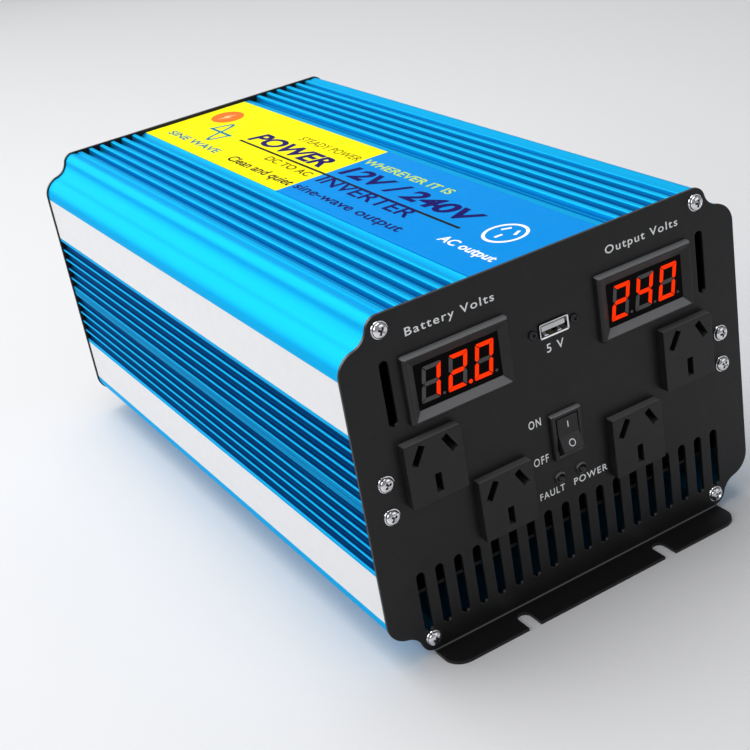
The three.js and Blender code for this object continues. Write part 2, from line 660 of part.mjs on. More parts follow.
/** Wire finger guard: concentric rings on four crossed spokes that end in screw eyes. */
function fanGuard(x) {
  const ringY = -GUARD_OUT;
  const spokeY = -GUARD_OUT + GUARD_WIRE_R;
  let guard = null;
  for (const radius of GUARD_RING_RADII) {
    const section = arc(radius, ringY, GUARD_WIRE_R, 45, 405, 4);
    const ring = turnedY(section, 18);
    guard = guard ? guard.add(ring) : ring;
  }
  for (let i = 0; i < 4; i += 1) {
    const eyeR = FAN_SCREW_SPREAD * Math.SQRT2;
    const spoke = block(
      [GUARD_RING_RADII[0] - 1, spokeY - 0.6, -0.7], [eyeR - 1.5, spokeY + 0.6, 0.7]);
    const eye = barY(eyeR, 0, 3.4, spokeY - 0.6, spokeY + 0.6, 12)
      .subtract(barY(eyeR, 0, 1.7, spokeY - 2, spokeY + 2, 8));
    guard = guard.add(spoke.add(eye).rotate([0, 45 + 90 * i, 0]));
  }
  return guard.translate([x, 0, FAN.z]);
}

/** Insulating collar of a battery terminal. */
function terminalBase(x) {
  const { base_r: radius, base_out: out, stud_r: stud, z } = TERMINAL;
  const collar = barY(x, z, radius, -out, -GAP, 20);
  const neck = barY(x, z, stud + 3 - GAP, -GAP - 0.5, SHEET + 3, 16);
  return collar.add(neck).subtract(barY(x, z, stud + GAP, -out - 1, SHEET + 4, 16));
}

function terminalStud(x) {
  const { stud_r: radius, stud_in: inside, z } = TERMINAL;
  return turnedY([
    [0, -REAR_REACH],
    [radius - 0.6, -REAR_REACH],
    [radius, -REAR_REACH + 0.8],
    [radius, inside],
    [0, inside],
  ], 16).translate([x, 0, z]);
}

/** Hexagon nut with a broad washer face. */
function terminalNut(x) {
  const { across, height, washer_r: washerR, washer, from } = TERMINAL_NUT;
  const cornerR = across / Math.sqrt(3);
  const washerBody = barY(0, 0, washerR, -from - washer, -from, 20);
  const hex = barY(0, 0, cornerR, -from - washer - height, -from - washer + 0.4, 6);
  const bore = barY(0, 0, TERMINAL.stud_r + GAP, -from - washer - height - 1, -from + 1, 16);
  return washerBody.add(hex).subtract(bore).translate([x, 0, TERMINAL.z]);
}

function earthScrew() {
  const { head_r: headR, head, shank_r: shankR, length } = EARTH;
  const profile = [
    [0, -GAP - head],
    [headR * 0.7, -GAP - head],
    [headR, -GAP - head * 0.5],
    [headR, -GAP],
    [shankR, -GAP],
    [shankR, length],
    [0, length],
  ];
  const drive = block([-3, -head - 2, -0.6], [3, -head + 0.9, 0.6]);
  return turnedY(profile, 14).subtract(drive).translate([0, 0, EARTH.z]);
}

// ---------------------------------------------------------------- inside

const BOARD_TOP = BOARD.z + BOARD.thickness;

function mainBoard() {
  return block(
    [-BOARD.half, FRONT_Y + BOARD.front, BOARD.z],
    [BOARD.half, REAR_Y - BOARD.rear, BOARD_TOP]);
}

/** Ferrite core with two windows, standing on the board. */
const CORE = { x: -30, y: -20, width: 55, depth: 28, height: 55, leg: 17, window: 10, foot: 9 };

function transformerCore() {
  const z0 = BOARD_TOP + 2;
  const z1 = z0 + CORE.height;
  let core = block(
    [CORE.x - CORE.width / 2, CORE.y - CORE.depth / 2, z0],
    [CORE.x + CORE.width / 2, CORE.y + CORE.depth / 2, z1]);
  for (const sign of [-1, 1]) {
    const inner = CORE.x + sign * CORE.leg / 2;
    const outer = inner + sign * CORE.window;
    core = core.subtract(block(
      [Math.min(inner, outer), CORE.y - CORE.depth, z0 + CORE.foot],
      [Math.max(inner, outer), CORE.y + CORE.depth, z1 - CORE.foot]));
  }
  return core;
}

function transformerWinding() {
  const z0 = BOARD_TOP + 2 + CORE.foot + GAP;
  const z1 = z0 + CORE.height - 2 * CORE.foot - 2 * GAP;
  const reach = CORE.window - GAP;
  const x0 = CORE.leg / 2 + GAP;
  const y0 = CORE.depth / 2 + GAP;
  const outer = roundedRectangle(0, 0, CORE.leg + 2 * reach, CORE.depth + 2 * reach, 4, 3);
  const shell = extrudeZ(outer, z0, z1);
  return shell
    .subtract(block([-x0, -y0, z0 - 1], [x0, y0, z1 + 1]))
    .translate([CORE.x, CORE.y, 0]);
}

/** Toroidal choke standing on edge. */
function outputChoke() {
  const section = roundedRectangle(17, 0, 12, 20, 4, 1);
  const ring = turnedY([...section, section[0]], 16);
  return ring.translate([38, -92, BOARD_TOP + 1 + 23]);
}

/** Can capacitor standing on the board. */
function capacitor(x, y, radius, height) {
  const geometry = new THREE.LatheGeometry([
    new THREE.Vector2(0, 0),
    new THREE.Vector2(radius, 0),
    new THREE.Vector2(radius, height - 0.8),
    new THREE.Vector2(radius - 0.8, height),
    new THREE.Vector2(0, height),
  ], 16);
  geometry.rotateX(Math.PI / 2);
  geometry.translate(x, y, BOARD_TOP + GAP);
  return solid(geometry);
}

/** Aluminium bar along a side wall with a row of power transistors on its inner face. */
function transistorBank(side) {
  const bar = { from: 84.4, to: 89.8, low: BOARD_TOP + 4, high: 58, front: -110, rear: 90 };
  const packageSize = { thick: 4.8, width: 15.5, low: BOARD_TOP + 7, high: BOARD_TOP + 28, pitch: 24 };
  const span = (x0, x1) => [Math.min(side * x0, side * x1), Math.max(side * x0, side * x1)];
  const [x0, x1] = span(bar.from, bar.to);
  let bank = block([x0, bar.front, bar.low], [x1, bar.rear, bar.high]);
  for (let y = bar.front + 6; y + packageSize.width < bar.rear; y += packageSize.pitch) {
    const [p0, p1] = span(bar.from - packageSize.thick, bar.from + 0.2);
    bank = bank.add(block([p0, y, packageSize.low], [p1, y + packageSize.width, packageSize.high]));
  }
  return bank;
}

/** Upright controller board behind the switch. */
function controlBoard() {
  return block([-30, FRONT_Y + 34, BOARD_TOP + GAP], [30, FRONT_Y + 35.6, BOARD_TOP + 70]);
}

/** Copper strap from a battery stud down to the board. */
function busbar(x) {
  const y = REAR_Y - TERMINAL.stud_in - GAP;
  const thick = 2;
  const upright = block([x - 8, y - thick, BOARD_TOP + GAP], [x + 8, y, TERMINAL.z + 8]);
  const foot = block([x - 8, y - 22, BOARD_TOP + GAP], [x + 8, y, BOARD_TOP + GAP + thick]);
  return upright.add(foot);
}

// ---------------------------------------------------------------- assembly

const inverter = new THREE.Group();

function place(name, manifold, material) {
  const mesh = new THREE.Mesh(geometryOf(manifold), material);
  mesh.name = name;
  inverter.add(mesh);
}

place('upper_shell', upperShell(), anodised);
place('lower_shell', lowerShell(), anodised);
place('front_panel', frontPanel(), blackCoat);
place('rear_panel', rearPanel(), blackCoat);
place('top_label', topLabel(), labelFilm);

for (const [side, sign] of [['left', -1], ['right', 1]]) {
  place(`upper_trim_${side}`, sideTrim(sign, 'upper'), whiteTrim);
  place(`lower_trim_${side}`, sideTrim(sign, 'lower'), whiteTrim);
  for (const [height, { x, z }] of Object.entries(SCREW_PLACES)) {
    place(`front_screw_${height}_${side}`, onPanel(panelScrew(sign * x, z), 'front'), chrome);
  }
  for (const height of ['top', 'bottom']) {
    const { x, z } = SCREW_PLACES[height];
    place(`rear_screw_${height}_${side}`, onPanel(panelScrew(sign * x, z), 'rear'), chrome);
  }
  place(`fan_frame_${side}`, onPanel(fanFrame(sign * FAN.x), 'rear'), blackPlastic);
  place(`fan_rotor_${side}`, onPanel(fanRotor(sign * FAN.x), 'rear'), blackPlastic);
  place(`fan_guard_${side}`, onPanel(fanGuard(sign * FAN.x), 'rear'), chrome);
  place(`transistor_bank_${side}`, transistorBank(sign), aluminium);
}

for (const [name, x] of [['battery_meter', -METER.x], ['output_meter', METER.x]]) {
  place(`${name}_bezel`, onPanel(meterBezel(x), 'front'), blackPlastic);
  place(`${name}_display`, onPanel(meterDisplay(x), 'front'), darkLens);
}
place('port_shell', onPanel(portShell(), 'front'), chrome);
place('port_tongue', onPanel(portTongue(), 'front'), whiteTrim);
place('switch_frame', onPanel(switchFrame(), 'front'), blackPlastic);
place('switch_rocker', onPanel(switchRocker(), 'front'), blackPlastic);
place('fault_light', onPanel(indicator(-LED.x), 'front'), ledLens);
place('power_light', onPanel(indicator(LED.x), 'front'), ledLens);
for (const [name, position] of Object.entries(OUTLET_PLACES)) {
  place(name, onPanel(outlet(position), 'front'), blackPlastic);
}

for (const [name, x, material] of [['negative', TERMINAL.x, blackPlastic], ['positive', -TERMINAL.x, redPlastic]]) {
  place(`${name}_terminal_base`, onPanel(terminalBase(x), 'rear'), material);
  place(`${name}_terminal_stud`, onPanel(terminalStud(x), 'rear'), brass);
  place(`${name}_terminal_nut`, onPanel(terminalNut(x), 'rear'), brass);
  place(`${name}_busbar`, busbar(x), copper);
}
place('earth_screw', onPanel(earthScrew(), 'rear'), brass);

place('main_board', mainBoard(), greenBoard);
place('control_board', controlBoard(), greenBoard);
place('transformer_core', transformerCore(), ferrite);
place('transformer_winding', transformerWinding(), copper);
place('output_choke', outputChoke(), copper);
place('bus_capacitor', capacitor(36, -10, 17, 50), canBlue);
place('input_capacitor_left', capacitor(-30, 60, 9, 35), canBlue);
place('input_capacitor_right', capacitor(30, 60, 9, 35), canBlue);

export default inverter;
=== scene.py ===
"""Looks for the power inverter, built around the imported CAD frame.

Lengths in this file are millimetres unless a name says otherwise. Meshes are built in the part's
own frame and scaled to metres when they become pieces: the front panel faces -Y and +Z is up.
"""
import json
import math
import random

import bmesh
import bpy
from mathutils import Matrix, Vector


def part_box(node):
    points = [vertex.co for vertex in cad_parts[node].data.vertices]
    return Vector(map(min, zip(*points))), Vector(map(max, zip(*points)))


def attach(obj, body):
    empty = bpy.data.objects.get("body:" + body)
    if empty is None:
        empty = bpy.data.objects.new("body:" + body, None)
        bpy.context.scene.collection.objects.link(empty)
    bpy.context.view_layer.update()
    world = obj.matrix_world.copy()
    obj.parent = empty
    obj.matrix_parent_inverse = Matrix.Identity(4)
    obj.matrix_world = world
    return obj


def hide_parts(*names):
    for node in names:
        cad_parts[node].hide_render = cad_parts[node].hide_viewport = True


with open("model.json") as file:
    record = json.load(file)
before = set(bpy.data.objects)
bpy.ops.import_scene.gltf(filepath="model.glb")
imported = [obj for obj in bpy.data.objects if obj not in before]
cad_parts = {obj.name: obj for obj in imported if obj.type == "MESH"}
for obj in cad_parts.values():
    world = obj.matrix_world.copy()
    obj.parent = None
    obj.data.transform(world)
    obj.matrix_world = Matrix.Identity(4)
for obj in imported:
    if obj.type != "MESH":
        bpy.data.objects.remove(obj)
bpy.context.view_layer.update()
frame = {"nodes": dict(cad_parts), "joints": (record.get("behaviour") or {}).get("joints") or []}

METRE = 0.001
BODY = "inverter_body"
SIDES = (("left", -1), ("right", 1))
random.seed(7)

# ------------------------------------------------------------------ sizes, a few worked out from the frame and the rest given as numbers


def box_mm(node):
    """Lowest and highest corner of a CAD node, in millimetres."""
    low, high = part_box(node)
    return low / METRE, high / METRE


def centre_mm(node):
    low, high = box_mm(node)
    return (low + high) / 2


PANEL_LOW, PANEL_HIGH = box_mm("front_panel")
SHEET = 1.5
PANEL_BOTTOM = 1.8
HALF_WIDTH = PANEL_HIGH.x
PANEL_TOP = PANEL_HIGH.z
FRONT_FACE = PANEL_HIGH.y - SHEET
FLANGE_REACH = FRONT_FACE - PANEL_LOW.y
FLANGE_HALF = 75.5
REAR_FACE = box_mm("rear_panel")[0].y + SHEET
SHELL_LOW, SHELL_HIGH = box_mm("upper_shell")
SEAM_Z = (PANEL_TOP + PANEL_BOTTOM) / 2

SIDE_ROUND = (84.8, 131.4, 9.8)
TOP_ROUND = (75.2, 145.9, 5.5)
HOLLOW_R = 8.5
SHELL_INSET = 0.6
SHELL_SIDE = HALF_WIDTH - SHELL_INSET
SHELL_TOP = PANEL_TOP - SHELL_INSET
INNER_SIDE = 90.4
INNER_TOP = 145.8
SIDE_VALLEY = 92.2
SEAM_LIP = 2.6
SIDE_RIB_FIRST = 7.55
SIDE_RIB_PITCH = 5.62
SIDE_RIB_COUNT = 4
SIDE_RIB_HALF = 0.5
TRIM_LOW = 108.1
TRIM_HIGH = 130.5
TRIM_FLOOR = 93.3
TOP_VALLEY = 147.8
TOP_RIB_FIRST = 38.9
TOP_RIB_PITCH = 6.4
TOP_RIB_COUNT = 5
TOP_RIB_HALF = 1.5
PLATFORM_HALF = 32.4
PLATFORM_FOOT = 36.4
PLATFORM_Z = 149.8
RIDGE_FOOT = 69
RIDGE_STEP = 72

SCREWS = {
    "top": (75.2, 145.5),
    "upper_middle": (83.8, 83.9),
    "lower_middle": (83.8, 69.3),
    "bottom": (75.2, 7.7),
}
METERS = {"battery_meter": (-45.5, 117.4), "output_meter": (45.5, 117.4)}
PORT_Z = 118.4
PORT_SCREW_X = 10.1
SWITCH_Z = 71
LED_X = 5.4
LED_Z = 51.8
FAN_X = 37
FAN_Z = 95
FAN_BORE = 28.4
FAN_SCREW_OUT = 25
TERMINAL_X = 47
TERMINAL_Z = 31
VENT_COUNT = 18
VENT_PITCH = 8.98
VENT_LOW = 11.6
VENT_HIGH = 39.6
VENT_RADIUS = 1.95
SIDE_VENT_X = 75.9
SIDE_VENT_LOW = 105.5
SIDE_VENT_HIGH = 132.9

# ------------------------------------------------------------------ outlines


def arc(x, z, radius, start, end, steps):
    """Points of an arc, in degrees, both ends included."""
    points = []
    for i in range(steps + 1):
        angle = math.radians(start + (end - start) * i / steps)
        points.append((x + radius * math.cos(angle), z + radius * math.sin(angle)))
    return points


def circle(x, z, radius, steps=32):
    return arc(x, z, radius, 0, 360 * (steps - 1) / steps, steps - 1)


def rounded_rectangle(x, z, width, height, radius, steps=4):
    w, h = width / 2 - radius, height / 2 - radius
    return [
        *arc(x + w, z + h, radius, 0, 90, steps),
        *arc(x - w, z + h, radius, 90, 180, steps),
        *arc(x - w, z - h, radius, 180, 270, steps),
        *arc(x + w, z - h, radius, 270, 360, steps),
    ]


def upright_slot(x, low, high, radius):
    return [*arc(x, high - radius, radius, 0, 180, 10), *arc(x, low + radius, radius, 180, 360, 10)]


def mirrored(points):
    return [(-x, *rest) for x, *rest in reversed(points)]


def filleted(points, steps=4):
    """A closed outline of (x, z, radius) corners, with each corner rounded by its radius."""
    result = []
    for i, (x, z, radius) in enumerate(points):
        corner = Vector((x, z))
        before = Vector(points[i - 1][:2]) - corner
        after = Vector(points[(i + 1) % len(points)][:2]) - corner
        if radius <= 0 or before.length < 1e-6 or after.length < 1e-6:
            result.append((x, z))
            continue
        half = before.angle(after) / 2
        reach = min(radius / math.tan(half), 0.48 * before.length, 0.48 * after.length)
        start = corner + before.normalized() * reach
        end = corner + after.normalized() * reach
        for k in range(steps + 1):
            t = k / steps
            point = start * (1 - t) ** 2 + corner * 2 * t * (1 - t) + end * t ** 2
            result.append((point.x, point.y))
    return result


def ogee_corner(inset):
    """The upper right corner of the panel outline, from the side to the top, moved inward."""
    side_x, side_z, side_r = SIDE_ROUND
    top_x, top_z, top_r = TOP_ROUND
    side_r, top_r, hollow_r = side_r - inset, top_r - inset, HOLLOW_R + inset
    dx, dz = top_x - side_x, top_z - side_z
    distance = math.hypot(dx, dz)
    to_side, to_top = side_r + hollow_r, top_r + hollow_r
    along = (to_side ** 2 - to_top ** 2 + distance ** 2) / (2 * distance)
    across = math.sqrt(to_side ** 2 - along ** 2)
    hollow_x = side_x + (dx * along + dz * across) / distance
    hollow_z = side_z + (dz * along - dx * across) / distance
    from_side = math.degrees(math.atan2(hollow_z - side_z, hollow_x - side_x))
    from_top = math.degrees(math.atan2(hollow_z - top_z, hollow_x - top_x))
    return [
        *arc(side_x, side_z, side_r, 0, from_side, 14),
        *arc(hollow_x, hollow_z, hollow_r, from_side + 180, from_top + 180, 10)[1:],
        *arc(top_x, top_z, top_r, from_top, 90, 8)[1:],
    ]


def panel_outline():
    right = ogee_corner(0)
    upper = [*right, *mirrored(right)]
    return [*upper, *[(x, 2 * SEAM_Z - z) for x, z in reversed(upper)]]


def shell_section():
    """Closed cross-section of the upper shell: ribbed outside, plain inside."""
    seam = SEAM_Z + 0.15
    lip = SEAM_Z + SEAM_LIP
    right = [(SHELL_SIDE, seam, 0.3), (SHELL_SIDE, lip, 0.4), (SIDE_VALLEY, lip + 0.5, 0.5)]
    for i in range(SIDE_RIB_COUNT):
        z = SEAM_Z + SIDE_RIB_FIRST + i * SIDE_RIB_PITCH
        right += [
            (SIDE_VALLEY, z - SIDE_RIB_HALF - 0.4, 0.5),
            (SHELL_SIDE, z - SIDE_RIB_HALF, 0.45),
            (SHELL_SIDE, z + SIDE_RIB_HALF, 0.45),
            (SIDE_VALLEY, z + SIDE_RIB_HALF + 0.4, 0.5),
        ]
    right += [
        (SIDE_VALLEY, TRIM_LOW - 2.3, 0.5),
        (SHELL_SIDE, TRIM_LOW - 1.8, 0.4),
        (SHELL_SIDE, TRIM_LOW, 0.1),
        (TRIM_FLOOR, TRIM_LOW, 0),
        (TRIM_FLOOR, TRIM_HIGH, 0),
        (SHELL_SIDE, TRIM_HIGH, 0.1),
        *[(x, z, 0) for x, z in ogee_corner(SHELL_INSET)],
        (RIDGE_STEP + 0.3, SHELL_TOP - 0.7, 0.1),
        (RIDGE_STEP, SHELL_TOP - 0.1, 0.15),
        (RIDGE_FOOT + 0.6, SHELL_TOP - 0.3, 0.4),
        (RIDGE_FOOT, TOP_VALLEY, 0.5),
    ]
    for i in reversed(range(TOP_RIB_COUNT)):
        x = TOP_RIB_FIRST + i * TOP_RIB_PITCH
        right += [
            (x + TOP_RIB_HALF, TOP_VALLEY, 0.6),
            (x + TOP_RIB_HALF - 0.4, SHELL_TOP, 0.7),
            (x - TOP_RIB_HALF + 0.4, SHELL_TOP, 0.7),
            (x - TOP_RIB_HALF, TOP_VALLEY, 0.6),
        ]
    right += [(PLATFORM_FOOT, TOP_VALLEY, 0.8), (PLATFORM_HALF, PLATFORM_Z, 0.5)]
    inner = [
        (70, INNER_TOP, 0),
        (79.5, 141, 0),
        (86, 136, 0),
        (INNER_SIDE, 129, 0),
        (INNER_SIDE, seam, 0.2),
    ]
    return filleted([*right, *mirrored(right), *mirrored(inner), *inner])


# ------------------------------------------------------------------ meshes


def mesh_from(vertices, faces):
    mesh = bpy.data.meshes.new("mesh")
    mesh.from_pydata([tuple(v) for v in vertices], [], faces)
    mesh.validate()
    build = bmesh.new()
    build.from_mesh(mesh)
    bmesh.ops.recalc_face_normals(build, faces=build.faces)
    build.to_mesh(mesh)
    build.free()
    return mesh


def loft(rings, close_start=True, close_end=True):
    """A skin over rings of equal count, each a list of 3-D points."""
    count = len(rings[0])
    vertices = [point for ring in rings for point in ring]
    faces = []
    for r in range(len(rings) - 1):
        for i in range(count):
            j = (i + 1) % count
            faces.append((r * count + i, r * count + j, (r + 1) * count + j, (r + 1) * count + i))
    if close_start:
        faces.append(tuple(reversed(range(count))))
    if close_end:
        last = (len(rings) - 1) * count
        faces.append(tuple(range(last, last + count)))
    return mesh_from(vertices, faces)


def extrude_y(outline, y0, y1):
    return loft([[(x, y, z) for x, z in outline] for y in (y0, y1)])


def extrude_x(outline, x0, x1):
    """Extrudes an outline of (y, z) points along X."""
    return loft([[(x, y, z) for y, z in outline] for x in (x0, x1)])


def extrude_z(outline, z0, z1):
    return loft([[(x, y, z) for x, y in outline] for z in (z0, z1)])


def turned(profile, segments=48):
    """A body turned about the Y axis from (radius, y) points; zero radius closes an end."""
    rings = []
    for radius, y in profile:
        rings.append([(x, y, z) for x, z in circle(0, 0, max(radius, 1e-3), segments)])
    return loft(rings)


def torus(radius, wire, segments=72, around=12):
    """A wire ring about the Y axis."""
    vertices = []
    faces = []
    for i in range(segments):
        a = math.tau * i / segments
        for k in range(around):
            b = math.tau * k / around
            r = radius + wire * math.cos(b)
            vertices.append((r * math.cos(a), wire * math.sin(b), r * math.sin(a)))
            j, m = (i + 1) % segments, (k + 1) % around
            faces.append((i * around + k, i * around + m, j * around + m, j * around + k))
    return mesh_from(vertices, faces)


def moved(mesh, x=0, y=0, z=0):
    mesh.transform(Matrix.Translation((x, y, z)))
    return mesh


def turned_by(mesh, degrees, axis):
    mesh.transform(Matrix.Rotation(math.radians(degrees), 4, axis))
    return mesh


def to_rear(mesh):
    """Turns a fitting made for the front panel, with its face at y = 0, to face out of the rear."""
    mesh.transform(Matrix.Translation((0, REAR_FACE, 0)) @ Matrix.Scale(-1, 4, (0, 1, 0)))
    mesh.flip_normals()
    return mesh


def to_front(mesh):
    return moved(mesh, y=FRONT_FACE)


def joined(meshes):
    build = bmesh.new()
    for mesh in meshes:
        build.from_mesh(mesh)
    result = bpy.data.meshes.new("mesh")
    build.to_mesh(result)
    build.free()
    return result


def placed(name, data):
    """A new scene object holding a mesh, curve, light or camera."""
    item = bpy.data.objects.new(name, data)
    bpy.context.scene.collection.objects.link(item)
    return item


def temporary(data):
    return placed("temporary", data)


def applied(item):
    """The mesh of an object with its modifiers applied; the object is removed."""
    bpy.context.view_layer.update()
    graph = bpy.context.evaluated_depsgraph_get()
    mesh = bpy.data.meshes.new_from_object(item.evaluated_get(graph))
    bpy.data.objects.remove(item)
    return mesh


def boolean(mesh, tool, operation="DIFFERENCE"):
    item, cutter = temporary(mesh), temporary(tool)
    modifier = item.modifiers.new("cut", "BOOLEAN")
    modifier.operation = operation
    modifier.solver = "EXACT"
    modifier.object = cutter
    mesh = applied(item)
    bpy.data.objects.remove(cutter)
    return mesh


def round_edges(item, width, segments=2, angle=35):
    """Adds a bevel on the edges that are sharper than an angle in degrees."""
    modifier = item.modifiers.new("edges", "BEVEL")
    modifier.width = width
    modifier.segments = segments
    modifier.limit_method = "ANGLE"
    modifier.angle_limit = math.radians(angle)
    modifier.harden_normals = False


def bevelled(mesh, width, segments=2, angle=35):
    item = temporary(mesh)
    round_edges(item, width, segments, angle)
    return applied(item)


def sheet(outlines, thickness, edge):
    """A flat plate in X and Z, from y = 0 to y = thickness, with rounded edges and holes."""
    curve = bpy.data.curves.new("sheet", "CURVE")
    curve.dimensions = "2D"
    curve.fill_mode = "BOTH"
    curve.extrude = thickness / 2 - edge
    curve.bevel_depth = edge
    curve.bevel_resolution = 1
    curve.offset = -edge
    for outline in outlines:
        spline = curve.splines.new("POLY")
        spline.points.add(len(outline) - 1)
        for point, (x, z) in zip(spline.points, outline):
            point.co = (x, z, 0, 1)
        spline.use_cyclic_u = True
    mesh = applied(temporary(curve))
    turned_by(mesh, 90, "X")
    return moved(mesh, y=thickness / 2)


LETTER_DEPTH = 0.03


def lettering(text, width, height, slant=0.0, weight=0.0, spacing=1.0):
    """Flat lettering in X and Z, centred, scaled to a width and a cap height."""
    curve = bpy.data.curves.new("lettering", "FONT")
    curve.body = text
    curve.extrude = 0.01
    curve.offset = weight
    curve.space_character = spacing
    curve.resolution_u = 4
    mesh = applied(temporary(curve))
    xs = [v.co.x for v in mesh.vertices]
    ys = [v.co.y for v in mesh.vertices]
    caps = bpy.data.curves.new("caps", "FONT")
    caps.body = "H"
    cap_mesh = applied(temporary(caps))
    cap = max(v.co.y for v in cap_mesh.vertices)
    middle = (min(xs) + max(xs)) / 2
    scale_x = width / (max(xs) - min(xs))
    for v in mesh.vertices:
        z = v.co.y * height / cap
        v.co = ((v.co.x - middle) * scale_x + slant * z, -v.co.z * LETTER_DEPTH / 0.01, z)
    return mesh


def piece(name, mesh, material, body=BODY, replaces=(), sharp=35):
    """Turns a mesh in millimetres into a named piece that rides on a body."""
    mesh.transform(Matrix.Scale(METRE, 4))
    for polygon in mesh.polygons:
        polygon.use_smooth = True
    mesh.set_sharp_from_angle(angle=math.radians(sharp))
    mesh.name = name
    mesh.materials.clear()
    mesh.materials.append(material)
    item = placed(name, mesh)
    modifier = item.modifiers.new("even_faces", "WEIGHTED_NORMAL")
    modifier.keep_sharp = True
    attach(item, body)
    if replaces:
        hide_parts(*replaces)
    return item


# ------------------------------------------------------------------ materials


class Surface:
    """A Principled material with small helpers for procedural detail in part coordinates."""

    def __init__(self, name, color, roughness, metallic=0.0):
        self.material = bpy.data.materials.new(name)
        self.material.use_nodes = True
        self.tree = self.material.node_tree
        self.shader = self.tree.nodes["Principled BSDF"]
        self.set("Base Color", (*color, 1))
        self.set("Roughness", roughness)
        self.set("Metallic", metallic)
        self.place = self.node("ShaderNodeTexCoord").outputs["Object"]
        self.height = None

    def set(self, socket, value):
        self.shader.inputs[socket].default_value = value

    def node(self, kind, sockets=(), **values):
        """A new node, with its settings and the numbers on its own sockets."""
        made = self.tree.nodes.new(kind)
        for key, value in values.items():
            setattr(made, key, value)
        for socket, value in dict(sockets).items():
            made.inputs[socket].default_value = value
        return made

    def link(self, source, target):
        self.tree.links.new(source, target)

    def noise(self, size, stretch=(1, 1, 1), detail=3.0, seed=0.0):
        """Noise whose features are about size millimetres, drawn out along an axis by stretch."""
        drawn = {"Scale": [1 / s for s in stretch], "Location": (seed, seed * 0.7, seed * 1.3)}
        mapping = self.node("ShaderNodeMapping", drawn)
        self.link(self.place, mapping.inputs["Vector"])
        texture = self.node("ShaderNodeTexNoise", {"Scale": 1 / (size * METRE), "Detail": detail})
        self.link(mapping.outputs["Vector"], texture.inputs["Vector"])
        return texture.outputs["Fac"]

    def spread(self, source, low, high, socket, start=0.3, end=0.7):
        """Drives a number socket from low to high as source goes from start to end."""
        limits = {"From Min": start, "From Max": end, "To Min": low, "To Max": high}
        ramp = self.node("ShaderNodeMapRange", limits)
        self.link(source, ramp.inputs["Value"])
        self.link(ramp.outputs["Result"], self.shader.inputs[socket])

    def tint(self, source, dark, light, start=0.3, end=0.7):
        """Colours the surface from dark to light as source goes from start to end."""
        ramp = self.node("ShaderNodeValToRGB")
        for stop, position, color in zip(ramp.color_ramp.elements, (start, end), (dark, light)):
            stop.position = position
            stop.color = (*color, 1)
        self.link(source, ramp.inputs["Fac"])
        self.link(ramp.outputs["Color"], self.shader.inputs["Base Color"])

    def combine(self, operation, first, second):
        """One arithmetic operation between sockets or numbers."""
        result = self.node("ShaderNodeMath", operation=operation)
        for socket, value in zip(result.inputs, (first, second)):
            if isinstance(value, (int, float)):
                socket.default_value = value
            else:
                self.link(value, socket)
        return result.outputs[0]

    def rise(self, source, low, high):
        """0 at low and 1 at high, both in millimetres of the source, and even between them."""
        ramp = self.node("ShaderNodeMapRange", {"From Min": low * METRE, "From Max": high * METRE})
        self.link(source, ramp.inputs["Value"])
        return ramp.outputs["Result"]

    def paint_light_by_slope(self, color, low, high):
        """Paints light or shade: mixes in another colour where the surface turns upward, from slope low to
        slope high.
        """
        axes = self.node("ShaderNodeSeparateXYZ")
        self.link(self.node("ShaderNodeTexCoord").outputs["Normal"], axes.inputs[0])
        base = self.shader.inputs["Base Color"].links[0].from_socket
        blend = self.node("ShaderNodeMix", data_type="RGBA")
        self.link(self.rise(axes.outputs["Z"], low / METRE, high / METRE), blend.inputs["Factor"])
        self.link(base, blend.inputs["A"])
        blend.inputs["B"].default_value = (*color, 1)
        self.link(blend.outputs["Result"], self.shader.inputs["Base Color"])

    def bump(self, source, height, strength=1.0):
        """Adds relief of about height millimetres."""
        bump = self.node("ShaderNodeBump", {"Strength": strength, "Distance": height * METRE})
        self.link(source, bump.inputs["Height"])
        if self.height is not None:
            self.link(self.height, bump.inputs["Normal"])
        self.height = bump.outputs["Normal"]
        self.link(self.height, self.shader.inputs["Normal"])


def shaded(color, factor):
    return tuple(min(1.0, channel * factor) for channel in color)


